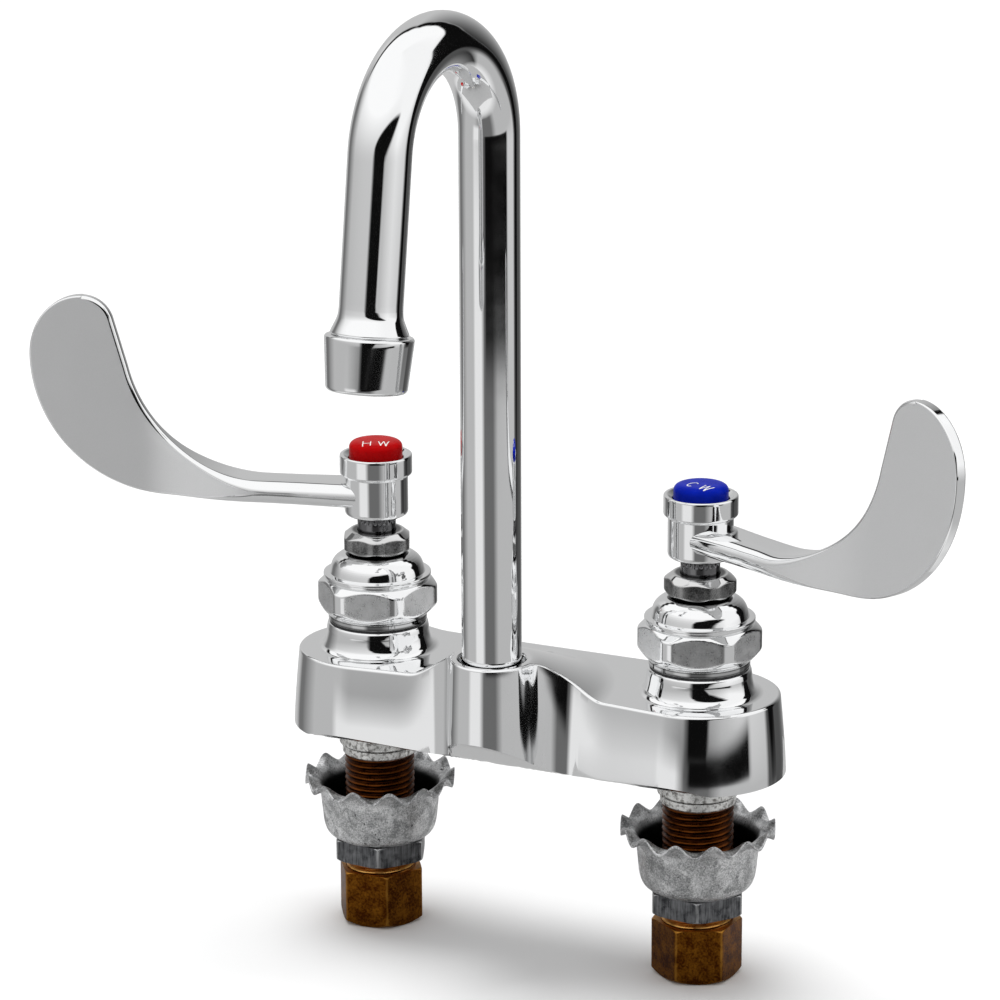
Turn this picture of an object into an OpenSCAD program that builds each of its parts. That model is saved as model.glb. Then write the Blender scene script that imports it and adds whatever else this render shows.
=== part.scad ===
// Deck faucet with two wrist handles and a swivel gooseneck spout.
// Origin: middle of the deck body's underside, halfway between the valves.
// X runs from the hot valve to the cold valve, -Y faces the user, Z is up.

/* [Deck body] */
// Distance between the two valve centres
valve_centres = 101.6; // [98:0.1:106]
// Height of the body's round ends above the deck
body_h = 22; // [20:0.5:26]
// Radius of the round ends where they meet the deck
end_r = 24.7; // [23:0.1:28]
// How far the side walls lean in between deck and top
body_draft = 2.2; // [0.5:0.1:3]
// Half depth of the straight middle of the body
waist_half = 22; // [19:0.5:23]
// Rounding of the top edges
edge_r = 2; // [1:0.25:3]
// Height of the nose that carries the spout
nose_h = 34; // [32:0.5:40]
// Outer radius of the nose
nose_r = 12.6; // [12.2:0.1:15]
// Height of the nose's front lip above the deck
nose_lift = 12; // [6:0.5:13]
// Reach of the nose's flanks along the body
flank_reach = 29; // [22:0.5:34]
// Distance of the spout's axis in front of the valves
spout_forward = 28.6; // [26:0.2:32]
// Radius of the water passages
water_r = 3.5; // [2.5:0.1:3.6]

/* [Valve towers] */
// Height of a tower above the body
tower_h = 8.4; // [7:0.2:12]
// Radius of the tower's neck
tower_r = 14.4; // [14:0.1:16]
// Radius of the tower's foot
tower_foot_r = 17.8; // [16:0.1:20]
// Radius of the bead round the tower's rim
bead_r = 14.8; // [14.5:0.1:17]

/* [Valve inside] */
// Radius of the thread that holds the bonnet
bonnet_thread_r = 12; // [11.6:0.1:12.6]
// Radius of the chamber above the seat
chamber_r = 10.2; // [9.8:0.1:11]
// Height of the chamber's floor above the deck
floor_h = 12; // [11.5:0.25:12.8]
// Outer radius of the seat
seat_r = 6.5; // [5.5:0.1:7.5]
// Length of the seat's thread
seat_len = 4.5; // [3:0.25:5]
// Height of the seat's crown above the chamber floor
seat_crown = 0.6; // [0.4:0.1:1]
// Radius of the hole through the seat
seat_hole_r = 4; // [3.4:0.1:4.5]
// Outer radius of the seat washer
seat_washer_r = 6.2; // [5:0.1:7]
// Thickness of the seat washer
seat_washer_t = 2.4; // [1.5:0.1:3]
// Rise of the plunger when the handle is fully turned
plunger_rise = 2.5; // [1.5:0.1:3]
// Outer radius of the plunger
plunger_r = 8.2; // [7.6:0.1:8.4]
// Length of the plunger
plunger_len = 14.6; // [13:0.2:15]
// Radius of the screw that holds the seat washer
seat_screw_r = 1.5; // [1.2:0.1:1.8]
// Length of that screw inside the plunger
seat_screw_len = 2.4; // [1.8:0.1:2.6]
// Radius of that screw's head
seat_screw_head_r = 3; // [2.2:0.1:3.2]
// Height of that screw's head
seat_screw_head_h = 1.4; // [1:0.1:1.8]
// Width of the keys that stop the plunger turning
key_w = 2.4; // [1.6:0.1:3]
// Depth of those keys
key_d = 1.1; // [0.8:0.1:1.3]

/* [Bonnet] */
// Thickness of the sealing washer under the bonnet
bonnet_washer_t = 0.6; // [0.4:0.1:1]
// Radius of the bonnet's round skirt
bonnet_skirt_r = 14.3; // [13.5:0.1:15]
// Height of that skirt
bonnet_skirt_h = 1.7; // [1:0.1:3]
// Width of the bonnet's hexagon across its flats
bonnet_af = 30.2; // [29.5:0.1:34]
// Height of the bonnet's hexagon
bonnet_hex_h = 10.7; // [8:0.1:13]
// Radius of the thin lip above the hexagon
lip_r = 15.6; // [15.2:0.1:17]
// Height of the lip's groove and rim together
lip_h = 2; // [1.6:0.1:3]
// Height of the dome above the lip
dome_h = 5.6; // [5:0.1:7]
// Radius of the dome's top
dome_top_r = 10.1; // [9:0.1:11]
// How much the dome's fall grows towards its top
dome_curve = 1.6; // [1.3:0.1:2]
// Chamfer at the hexagon's corners
bonnet_chamfer = 1.8; // [1:0.1:2]
// Turn of the hot bonnet on its thread
hot_bonnet_turn = 17; // [0:1:59]
// Turn of the cold bonnet on its thread
cold_bonnet_turn = 21; // [0:1:59]

/* [Stem] */
// Radius of the stem
stem_r = 5.55; // [5:0.05:5.8]
// Number of splines
splines = 24; // [16:2:32]
// Depth of a spline
spline_depth = 0.45; // [0.3:0.05:0.6]
// Radius of the stem's drive screw
drive_r = 4.4; // [3.6:0.1:4.8]
// Length of the drive screw
drive_len = 12.6; // [11:0.2:13.4]
// Radius of the stem's thrust collar
thrust_r = 8; // [7:0.1:8.2]
// Thickness of the thrust collar
thrust_t = 3.4; // [2.5:0.1:4]
// Length of stem seen between packing nut and handle
stem_show = 5.6; // [4:0.2:8]
// Depth to which the stem enters the handle
stem_in_handle = 9; // [7:0.2:9.6]

/* [Packing] */
// Width of the packing nut across its flats
packing_af = 17.2; // [16:0.1:19]
// Height of the packing nut's hexagon
packing_hex_h = 6.8; // [5:0.1:8]
// Chamfer at the packing nut's top
packing_chamfer = 2; // [1:0.1:2.4]
// Radius of the packing nut's thread
packing_thread_r = 7.5; // [7:0.1:7.8]
// Chamfer at the packing nut's foot
packing_foot_chamfer = 0.8; // [0.4:0.1:1.2]
// Turn of the hot packing nut on its thread
hot_packing_turn = 56; // [0:1:59]
// Turn of the cold packing nut on its thread
cold_packing_turn = 15; // [0:1:59]
// Length of the packing nut's thread
packing_thread_len = 4.4; // [3:0.1:5]
// Height of the packing ring
packing_ring_h = 3; // [2:0.1:3.4]
// Thickness of the brass washer under the packing ring
packing_washer_t = 0.8; // [0.5:0.1:1.2]

/* [Handle] */
// Radius of the hub's collar
collar_r = 10.2; // [9.8:0.1:11.4]
// Height of the hub's collar
collar_h = 6; // [5.4:0.1:8]
// Radius of the hub below its collar
hub_r = 9.2; // [8.6:0.1:9.8]
// Height of the hub below its collar
hub_h = 11; // [10.4:0.1:13]
// Thickness of the web that the screw clamps
web_t = 2.6; // [2:0.1:2.8]
// Distance from the stem's axis to the blade's tip
handle_reach = 102.1; // [95:0.5:110]
// Height of the blade above the hub's foot
blade_rise = 59.4; // [54:0.2:59.6]
// Radius of the sweep along the blade's outer edge
heel_r = 41.6; // [36:0.2:46]
// Radius of the sweep along the blade's inner edge
throat_r = 35.9; // [30:0.2:38]
// Distance from the stem's axis to the start of that sweep
throat_start = 38; // [34:0.5:42]
// Distance of the blade's highest point behind its tip
tip_run = 15.5; // [12:0.5:18]
// Lean of the blade's inner edge out of the vertical
throat_lean = 20; // [14:1:26]
// Radius of the blade's inner top corner
tip_r = 8.3; // [7:0.1:9]
// Thickness of the blade
blade_t = 3.8; // [3:0.1:5]
// Height of the arm
arm_h = 8.6; // [7:0.1:10]
// Height of the arm's underside above the hub's foot
arm_lift = 0.7; // [0.2:0.1:1.5]
// Width of the arm from the hub to the throat
arm_w = 14.6; // [12:0.2:16]
// Bevel along the arm's lower corners
arm_bevel = 2.6; // [1:0.1:3.2]
// Distance from the stem's axis at which the arm has narrowed to the blade
taper_end = 70; // [62:0.5:78]
// Turn of the hot handle towards the user at rest
hot_rest = 15; // [0:1:30]
// Turn of the cold handle towards the user at rest
cold_rest = 26.6; // [0:0.1:30]

/* [Button and screw] */
// Radius of the index button
button_r = 7.7; // [7:0.1:8.6]
// Height of the button above the collar
button_h = 4; // [2.5:0.1:5]
// Length of the skirt that snaps into the collar
button_skirt = 2; // [1.4:0.1:2.4]
// Radius of the handle screw
screw_r = 2.1; // [1.6:0.1:2.5]
// Radius of the handle screw's head
screw_head_r = 4; // [3.4:0.1:5]
// Height of the handle screw's head
screw_head_h = 2; // [1.5:0.1:2.2]
// Length of the handle screw under its head
screw_len = 9; // [7:0.2:10]

/* [Gooseneck] */
// Outer diameter of the tube
tube_d = 16.8; // [15:0.1:17.2]
// Wall of the tube
tube_wall = 1.4; // [1:0.1:2]
// Height of the bend's centre above the deck
bend_centre_h = 182.7; // [175:0.5:195]
// Radius of the bend along the tube's centre
bend_r = 28.6; // [26:0.1:34]
// Lean of the front leg out of the vertical
leg_lean = 7.7; // [2:0.1:10]
// Length of the front leg from the bend to the outlet
leg_len = 60.4; // [52:0.2:61]
// Diameter of the tube's swaged end
swage_d = 20.8; // [19:0.1:22]
// Length over which the end is swaged
swage_len = 5.4; // [4:0.1:8]
// Turn of the spout to the hot side at rest
spout_rest = 3.6; // [0:0.1:10]

/* [Spout joint] */
// Radius of the socket in the nose
socket_r = 9.5; // [9.2:0.05:10]
// Height of the socket's floor above the deck
socket_floor = 13.5; // [13:0.25:14]
// Depth of the visible ring gap round the tube's foot
ring_gap = 2.5; // [2:0.1:4]
// Length of the swivel sleeve
sleeve_len = 9.5; // [8.8:0.1:10.4]
// Depth of the tube's foot in the sleeve
tube_seat = 3.6; // [2.8:0.1:3.8]
// Height of the lower O-ring above the sleeve's foot
oring_first = 1.4; // [1.2:0.05:1.5]
// Distance between the two O-rings
oring_step = 2.6; // [2.2:0.05:2.7]
// Cross-section of an O-ring
oring_d = 1.6; // [1.3:0.05:1.8]
// Thickness of the snap ring
snap_t = 1.2; // [0.8:0.1:1.4]

/* [Aerator] */
// Diameter of the housing at its top
aerator_d = 23.6; // [23:0.1:25]
// Diameter of the housing at its outlet
aerator_out_d = 21.5; // [21:0.1:23.4]
// Height of the housing
aerator_h = 14.6; // [13.6:0.1:17]
// Diameter of the thread on the tube's end
aerator_thread_d = 19.6; // [19:0.1:20.2]
// Length of that thread
aerator_thread_len = 6.4; // [5:0.1:7]
// Thickness of the sealing washer
aerator_washer_t = 1.2; // [0.8:0.1:1.6]
// Thickness of the insert's flange
insert_flange_t = 1.2; // [0.8:0.1:1.6]
// Diameter of the insert
insert_d = 17.8; // [16:0.1:18.4]
// Radius of the holes through the insert
insert_hole_r = 0.9; // [0.6:0.05:1.1]
// Thickness of the outlet screen
screen_t = 0.6; // [0.4:0.1:0.8]
// Depth of the screen inside the outlet
screen_inset = 0.8; // [0.5:0.1:1.2]
// Distance between two gaps of the screen
screen_pitch = 2.4; // [2.2:0.1:3]
// Width of a gap of the screen
screen_hole = 1.5; // [1.2:0.1:1.7]

/* [Shanks] */
// Diameter of the shank's thread
shank_d = 20.4; // [19.6:0.1:21]
// Radius of the bore through the shank
shank_bore_r = 6; // [5:0.1:6.5]
// Radius of the shank's upper shoulder
shoulder_r = 11.7; // [11.2:0.1:13]
// Height of the shank's upper shoulder
shoulder_h = 7; // [5:0.1:8]
// Depth to which that shoulder is let into the body
shoulder_seat = 1; // [0.6:0.1:1.4]
// Radius of the shank's lower shoulder
shoulder2_r = 10.8; // [10.6:0.1:11.1]
// Height of the shank's lower shoulder
shoulder2_h = 2.6; // [1.5:0.1:3.5]
// Radius of the shank's end inside the body
spigot_r = 9; // [8:0.1:9.8]
// Length of that end
spigot_len = 6.4; // [5:0.1:6.6]
// Distance between two thread ridges
thread_pitch = 1.8; // [1.4:0.1:2.5]
// Depth of the thread
thread_depth = 0.6; // [0.4:0.05:0.9]

/* [Mounting hardware] */
// Height of the cup washer's foot below the deck body
cup_drop = 35.6; // [34:0.2:38]
// Radius of the cup washer's wall
cup_r = 17.6; // [16:0.1:19]
// Radius of the cup washer's flat foot
cup_foot_r = 14; // [13:0.1:15]
// Height of the cup washer without its rim
cup_h = 14.4; // [12:0.2:16]
// Thickness of the cup washer's sheet
cup_wall = 1.3; // [1:0.1:1.6]
// Radius of the cup washer's wavy rim
rim_r = 22; // [20:0.2:24]
// Rise of the rim above the wall
rim_rise = 3.2; // [2:0.2:4.5]
// Height of the rim's waves to either side
wave_h = 1.7; // [0.8:0.1:2.2]
// Number of waves
waves = 13; // [10:1:16]
// Width of the locknut across its flats
locknut_af = 25.4; // [24:0.1:28]
// Height of the locknut
locknut_h = 6.3; // [5:0.1:8]
// Turn of the hot locknut on its shank
hot_locknut_turn = 54; // [0:1:59]
// Turn of the cold locknut on its shank
cold_locknut_turn = 53; // [0:1:59]
// Width of the coupling nut across its flats
coupling_af = 22.8; // [22.2:0.1:25.4]
// Height of the coupling nut
coupling_h = 16.4; // [14:0.2:18]
// Turn of the hot coupling nut on its shank
hot_coupling_turn = 5; // [0:1:59]
// Turn of the cold coupling nut on its shank
cold_coupling_turn = 26; // [0:1:59]
// Thickness of the coupling nut's end wall
coupling_floor = 2.6; // [2:0.1:3.5]
// Bare thread between locknut and coupling nut
thread_show = 3.2; // [2:0.1:5]
// Radius of the supply riser's hole
riser_r = 6.6; // [5:0.1:7]
// Thickness of the riser's sealing washer
riser_washer_t = 3; // [2:0.1:4]

/* [Clearances] */
// Radial clearance of a turning fit
run = 0.06; // [0.03:0.01:0.1]
// Radial clearance of a threaded or seated fit
seat_gap = 0.05; // [0.02:0.01:0.1]
// Gap between faces that move past each other
face_gap = 0.1; // [0.05:0.05:0.3]
// Radial clearance of the packing nut on the stem
nut_run = 0.08; // [0.06:0.01:0.12]
// Radial clearance of the snap ring on the tube
snap_run = 0.3; // [0.2:0.05:0.5]

/* [Hidden] */
$fn = 64;

CHROME = [0.78, 0.79, 0.8];
SATIN = [0.66, 0.67, 0.68];
BRASS = [0.72, 0.45, 0.18];
DARK_BRASS = [0.42, 0.27, 0.13];
ZINC = [0.58, 0.59, 0.6];
STEEL = [0.45, 0.46, 0.48];
RUBBER = [0.12, 0.12, 0.12];
HOT = -1;
COLD = 1;
valve_x = valve_centres / 2;

// Heights on the valve axis, from the seat upwards
seat_top = floor_h + seat_crown;
washer_z = seat_top + face_gap / 2;
plunger_z = washer_z + seat_washer_t;
plunger_top = plunger_z + plunger_len;
tower_top = body_h + tower_h;
skirt_z = tower_top + bonnet_washer_t;
hex_z = skirt_z + bonnet_skirt_h;
lip_z = hex_z + bonnet_hex_h;
dome_z = lip_z + lip_h;
dome_top = dome_z + dome_h;
nut_z = dome_top;
nut_top = nut_z + packing_hex_h;
hub_z = nut_top + stem_show;
collar_z = hub_z + hub_h;
collar_top = collar_z + collar_h;
web_z = hub_z + stem_in_handle + face_gap;
recess_z = web_z + web_t;

// Stem and packing, from the packing nut down
packing_top = nut_z - packing_thread_len;
packing_bottom = packing_top - packing_ring_h;
gland_floor = packing_bottom - packing_washer_t;
overrun = 1;
thrust_top = plunger_top + plunger_rise + thrust_t + overrun;
journal_z = thrust_top + face_gap;
drive_z = thrust_top - thrust_t - drive_len;
plunger_bore_z = drive_z - face_gap - plunger_rise;
bonnet_foot = floor_h + 2 * water_r + 1;
gland_r = packing_thread_r + seat_gap;
slide_r = plunger_r + run;
key_slot_r = slide_r + key_d + 0.1;

// Waterway and spout joint
water_z = floor_h + water_r + 0.6;
tube_r = tube_d / 2;
tube_bore_r = tube_r - tube_wall;
spline_land = 0.04;
bend_lap = 0.3;
bend_thin = 0.04;
sleeve_top = nose_h - ring_gap - snap_t;
sleeve_z = sleeve_top - sleeve_len;
sleeve_r = socket_r - run;
tube_foot = sleeve_top - tube_seat;
sleeve_bore_r = tube_bore_r - 0.6;
groove_h = oring_d + 2 * seat_gap;
groove_r = socket_r - oring_d - seat_gap;
oring_at = [sleeve_z + oring_first, sleeve_z + oring_first + oring_step];
snap_z = sleeve_top + face_gap / 2;
snap_r = socket_r + 0.6;
snap_mouth = 3;

// Aerator, measured down the front leg
housing_at = leg_len - aerator_h;
housing_bore_r = aerator_thread_d / 2 + seat_gap;
ledge_at = aerator_thread_len + aerator_washer_t + insert_flange_t;
insert_hole_circle = insert_d * 0.3;

// Shank and hardware, measured down from the deck
shank_r = shank_d / 2;
locknut_top = -cup_drop;
locknut_foot = locknut_top - locknut_h;
coupling_top = locknut_foot - thread_show;
coupling_foot = coupling_top - coupling_h;
riser_z = coupling_foot + coupling_floor;
shank_foot = riser_z + riser_washer_t;
collar_depth = shoulder_h + shoulder2_h;
wall_top = -cup_drop + cup_h;

// Handle outline, in distance from the stem's axis and height above the hub's foot
arm_top = arm_lift + arm_h;
tip_s = handle_reach - tip_run;

function turn(side, hot, cold) = side == HOT ? hot : cold;

module hex(af, h) {
  cylinder(h = h, r = af / sqrt(3), $fn = 6);
}

// Hexagon whose corners are turned off at the top and the foot
module turned_hex(af, h, top, foot) {
  corner = af / sqrt(3);
  intersection() {
    hex(af, h);
    rotate_extrude()
      polygon([
        [0, 0], [corner - foot, 0], [corner, foot * 0.6],
        [corner, h - top * 0.6], [corner - top, h], [0, h]
      ]);
  }
}

module ring(r_out, r_in, h) {
  difference() {
    cylinder(h = h, r = r_out);
    translate([0, 0, -1]) cylinder(h = h + 2, r = r_in);
  }
}

module at_valve(side) {
  translate([side * valve_x, 0, 0]) children();
}

module at_spout() {
  translate([0, -spout_forward, 0]) rotate([0, 0, -90 - spout_rest]) children();
}

// Places children at the front end of the bend, with Z running down the leg
module down_leg() {
  at_spout()
    translate([bend_r * (1 + cos(leg_lean)), 0, bend_centre_h + bend_r * sin(leg_lean)])
      rotate([0, 180 - leg_lean, 0])
        children();
}

function arc(cx, cy, rx, ry, from, to, steps) =
  [for (i = [0 : steps]) let (a = from + (to - from) * i / steps) [cx + rx * cos(a), cy + ry * sin(a)]];

// Deck body

module end_lobe() {
  top_r = end_r - body_draft;
  rotate_extrude()
    polygon(concat(
      [[0, 0], [end_r, 0]],
      arc(top_r - edge_r, body_h - edge_r, edge_r, edge_r, 0, 90, 5),
      [[0, body_h]]
    ));
}

module waist() {
  lean = body_draft * 0.8;
  rotate([90, 0, 90])
    translate([0, 0, -valve_x])
      linear_extrude(height = valve_centres)
        polygon([
          [-waist_half, 0], [waist_half, 0],
          [waist_half - lean, body_h - edge_r], [waist_half - lean - edge_r, body_h],
          [edge_r + lean - waist_half, body_h], [lean - waist_half, body_h - edge_r]
        ]);
}

module nose() {
  shoulder_y = waist_half - body_draft;
  difference() {
    union() {
      translate([0, -spout_forward, 0])
        rotate_extrude()
          polygon(concat(
            [[0, 1], [nose_r, 1]],
            arc(nose_r - edge_r, nose_h - edge_r, edge_r, edge_r, 0, 90, 4),
            [[0, nose_h]]
          ));
      hull() {
        translate([0, -spout_forward, 0]) cylinder(h = nose_h - edge_r, r = nose_r - 0.2, $fn = 32);
        translate([-flank_reach, -shoulder_y, 0]) cube([2 * flank_reach, shoulder_y, body_h - edge_r]);
      }
      hull() {
        translate([0, -spout_forward, nose_h - 1 - edge_r]) cylinder(h = 1, r = nose_r - edge_r, $fn = 32);
        translate([-flank_reach * 0.8, -shoulder_y + edge_r, body_h - 4])
          cube([flank_reach * 1.6, shoulder_y + waist_half * 0.6, 4 - edge_r * 0.2]);
      }
    }
    nose_undercut();
  }
}

// The wedge of air below the nose, up to the front lip
module nose_undercut() {
  front = spout_forward + nose_r;
  rotate([90, 0, 90])
    translate([0, 0, -valve_x])
      linear_extrude(height = valve_centres)
        polygon([
          [-waist_half, 0], [-front, nose_lift], [-front - 10, nose_lift],
          [-front - 10, -5], [-waist_half, -5]
        ]);
}

module tower() {
  foot_gap = tower_foot_r - tower_r;
  neck_z = body_h + foot_gap * 1.5;
  rotate_extrude()
    polygon(concat(
      [[0, body_h - 1], [tower_foot_r, body_h - 1]],
      arc(tower_foot_r, neck_z, foot_gap, foot_gap * 1.5, 270, 180, 6),
      [[bead_r, neck_z + 0.6], [bead_r, neck_z + 1.6], [tower_r, tower_top - 0.6], [tower_r, tower_top], [0, tower_top]]
    ));
}

module valve_bores() {
  translate([0, 0, bonnet_foot]) cylinder(h = tower_top - bonnet_foot + 1, r = bonnet_thread_r);
  translate([0, 0, floor_h]) cylinder(h = bonnet_foot - floor_h + 0.5, r = chamber_r);
  translate([0, 0, floor_h - seat_len]) cylinder(h = seat_len + 0.5, r = seat_r);
  translate([0, 0, -1]) cylinder(h = floor_h, r = shank_bore_r);
  translate([0, 0, -1]) cylinder(h = spigot_len + 1 + face_gap, r = spigot_r + seat_gap);
  translate([0, 0, -1]) cylinder(h = shoulder_seat + 1, r = shoulder_r + seat_gap);
}

module waterways() {
  translate([-valve_x, 0, water_z]) rotate([0, 90, 0]) cylinder(h = valve_centres, r = water_r);
  translate([0, 0, water_z]) rotate([90, 0, 0]) cylinder(h = spout_forward, r = water_r);
}

module deck_body() {
  color(CHROME)
    difference() {
      union() {
        for (side = [HOT, COLD]) at_valve(side) {
          end_lobe();
          tower();
        }
        waist();
        nose();
      }
      for (side = [HOT, COLD]) at_valve(side) valve_bores();
      waterways();
      translate([0, -spout_forward, socket_floor]) cylinder(h = nose_h, r = socket_r);
      translate([0, -spout_forward, sleeve_top]) cylinder(h = snap_t + face_gap, r = snap_r);
    }
}

// Spout

// The tube's path with a given radius, used for its outside and for its bore.
// The legs lap a little into the bend, which is thinned by a hair as in a real bend.
module tube_path(r, foot, end) {
  at_spout() {
    translate([0, 0, foot]) cylinder(h = bend_centre_h - foot + bend_lap, r = r);
    translate([bend_r, 0, bend_centre_h])
      rotate([90, 0, 0])
        rotate([0, 0, leg_lean])
          rotate_extrude(angle = 180 - leg_lean)
            translate([bend_r, 0])
              circle(r = r - bend_thin);
  }
  down_leg() translate([0, 0, -bend_lap]) cylinder(h = end + bend_lap, r = r);
}

module gooseneck_tube() {
  straight = housing_at - swage_len;
  swage_r = swage_d / 2;
  thread_r = aerator_thread_d / 2;
  end = housing_at + aerator_thread_len;
  color(CHROME)
    difference() {
      union() {
        tube_path(tube_r, tube_foot, straight + 1);
        down_leg()
          rotate_extrude()
            polygon([
              [0, straight], [tube_r, straight],
              [tube_r + (swage_r - tube_r) * 0.3, straight + swage_len * 0.35],
              [swage_r - 0.4, straight + swage_len * 0.75], [swage_r, housing_at - 0.6],
              [swage_r - 0.4, housing_at - 0.05], [thread_r, housing_at - 0.05],
              [thread_r, end], [0, end]
            ]);
      }
      tube_path(tube_bore_r, tube_foot - 1, end + 1);
    }
}

// Brass sleeve on the tube's foot that turns in the nose
module swivel_sleeve() {
  color(BRASS)
    at_spout()
      difference() {
        translate([0, 0, sleeve_z]) cylinder(h = sleeve_len, r = sleeve_r);
        translate([0, 0, sleeve_z - 1]) cylinder(h = sleeve_len + 2, r = sleeve_bore_r);
        translate([0, 0, tube_foot]) cylinder(h = sleeve_len, r = tube_r);
        for (z = oring_at) translate([0, 0, z - groove_h / 2]) ring(sleeve_r + 1, groove_r, groove_h);
      }
}

module spout_orings() {
  color(RUBBER)
    at_spout()
      for (z = oring_at) translate([0, 0, z])
        rotate_extrude()
          translate([groove_r + oring_d / 2 + seat_gap / 2, 0])
            circle(r = oring_d / 2, $fn = 24);
}

// Open ring in the nose's groove that keeps the sleeve down
module spout_snap_ring() {
  color(STEEL)
    translate([0, -spout_forward, snap_z])
      difference() {
        ring(snap_r - seat_gap, tube_r + snap_run, snap_t - face_gap / 2);
        translate([-snap_mouth / 2, 0, -1]) cube([snap_mouth, snap_r + 1, snap_t + 2]);
      }
}

// Aerator

module aerator_housing() {
  out_r = aerator_out_d / 2;
  top_r = aerator_d / 2;
  color(CHROME)
    down_leg()
      translate([0, 0, housing_at])
        rotate_extrude()
          polygon([
            [housing_bore_r, 0], [top_r - 0.4, 0], [top_r, 0.4],
            [out_r, aerator_h - 0.6], [out_r - 0.5, aerator_h], [insert_d / 2 + seat_gap + 0.5, aerator_h],
            [insert_d / 2 + seat_gap, aerator_h - 0.5], [insert_d / 2 + seat_gap, ledge_at],
            [housing_bore_r, ledge_at]
          ]);
}

module aerator_washer() {
  color(RUBBER)
    down_leg()
      translate([0, 0, housing_at + aerator_thread_len])
        ring(housing_bore_r - seat_gap, insert_d / 2 - 1.4, aerator_washer_t);
}

module aerator_insert() {
  flange_at = housing_at + aerator_thread_len + aerator_washer_t;
  body_t = aerator_h - ledge_at - screen_t - screen_inset;
  color([0.85, 0.85, 0.83])
    down_leg()
      translate([0, 0, flange_at])
        difference() {
          union() {
            cylinder(h = insert_flange_t, r = housing_bore_r - seat_gap);
            cylinder(h = insert_flange_t + body_t, r = insert_d / 2);
          }
          for (i = [0 : 7])
            rotate([0, 0, 45 * i])
              translate([insert_hole_circle, 0, -1])
                cylinder(h = insert_flange_t + body_t + 2, r = insert_hole_r);
        }
}

module aerator_screen() {
  reach = floor(insert_d / 2 / screen_pitch);
  color(STEEL)
    down_leg()
      translate([0, 0, housing_at + aerator_h - screen_t - screen_inset])
        difference() {
          cylinder(h = screen_t, r = insert_d / 2);
          for (i = [-reach : reach], j = [-reach : reach])
            if (norm([i, j]) * screen_pitch < insert_d / 2 - screen_pitch)
              translate([i * screen_pitch - screen_hole / 2, j * screen_pitch - screen_hole / 2, -1])
                cube([screen_hole, screen_hole, screen_t + 2]);
        }
}

// Handles

function rest_angle(side) = side == HOT ? 180 + hot_rest : -cold_rest;

module at_handle(side) {
  at_valve(side) rotate([0, 0, rest_angle(side)]) children();
}

function blade_outline() = concat(
  [[0, arm_lift]],
  arc(handle_reach - heel_r, arm_lift + heel_r, heel_r, heel_r, 270, 360, 12),
  arc(tip_s, arm_lift + heel_r, tip_run, blade_rise - arm_lift - heel_r, 10, 90, 7),
  arc(tip_s, blade_rise - tip_r, tip_r, tip_r, 105, 180 - throat_lean, 5),
  arc(throat_start, arm_top + throat_r, throat_r, throat_r, -throat_lean, -90, 10),
  [[0, arm_top]]
);

// Half of the handle's plan: as wide as the arm up to the throat, then narrowing to the blade
function half_plan() = concat(
  [[-1, arm_w / 2]],
  [for (i = [0 : 10]) let (t = i / 10) [
    throat_start + (taper_end - throat_start) * t,
    blade_t / 2 + (arm_w - blade_t) / 4 * (1 + cos(180 * t))
  ]],
  [[handle_reach + 1, blade_t / 2]]
);

// Arm and blade in one: the side outline, as thick as the plan says, with the lower corners bevelled
module wrist_blade() {
  half = half_plan();
  last = len(half) - 1;
  intersection() {
    rotate([90, 0, 0])
      translate([0, 0, -arm_w / 2 - 1])
        linear_extrude(height = arm_w + 2)
          polygon(blade_outline());
    translate([0, 0, -1])
      linear_extrude(height = blade_rise + 2)
        polygon(concat(half, [for (i = [0 : last]) [half[last - i][0], -half[last - i][1]]]));
    rotate([90, 0, 90])
      translate([0, 0, -2])
        linear_extrude(height = handle_reach + 4)
          polygon([
            [arm_bevel + 1 - arm_w / 2, arm_lift - 1], [arm_w / 2 - arm_bevel - 1, arm_lift - 1],
            [arm_w / 2 + 1, arm_lift + arm_bevel + 1], [arm_w / 2 + 1, blade_rise + 1],
            [-arm_w / 2 - 1, blade_rise + 1], [-arm_w / 2 - 1, arm_lift + arm_bevel + 1]
          ]);
  }
}

module handle(side) {
  color(SATIN)
    at_handle(side)
      translate([0, 0, hub_z])
        difference() {
          union() {
            cylinder(h = hub_h, r = hub_r);
            translate([0, 0, hub_h]) cylinder(h = collar_h, r = collar_r);
            wrist_blade();
          }
          translate([0, 0, -1]) cylinder(h = stem_in_handle + face_gap + 1, r = stem_r + seat_gap);
          translate([0, 0, recess_z - hub_z]) cylinder(h = collar_top - recess_z + 1, r = button_r + seat_gap);
          cylinder(h = hub_h + collar_h, r = screw_r + 2 * seat_gap);
        }
}

module index_button(side) {
  foot = collar_top - button_skirt;
  crown = collar_top + button_h;
  color(side == HOT ? [0.75, 0.04, 0.05] : [0.04, 0.08, 0.62])
    at_valve(side)
      difference() {
        rotate_extrude()
          polygon(concat(
            [[0, foot], [button_r, foot], [button_r, crown - button_h * 0.55]],
            arc(button_r - 1.4, crown - button_h * 0.55, 1.4, button_h * 0.42, 20, 80, 4),
            [[button_r * 0.4, crown - 0.1], [0, crown]]
          ));
        translate([0, 0, foot - 1]) cylinder(h = button_skirt + 1, r = button_r - 1.2);
      }
}

module handle_screw(side) {
  slot_w = 1.1;
  color(STEEL)
    at_valve(side)
      difference() {
        union() {
          translate([0, 0, recess_z]) cylinder(h = screw_head_h, r = screw_head_r);
          translate([0, 0, recess_z - screw_len]) cylinder(h = screw_len, r = screw_r);
        }
        translate([-screw_head_r - 1, -slot_w / 2, recess_z + screw_head_h * 0.5])
          cube([2 * screw_head_r + 2, slot_w, screw_head_h]);
      }
}

// Valve cartridge

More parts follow.
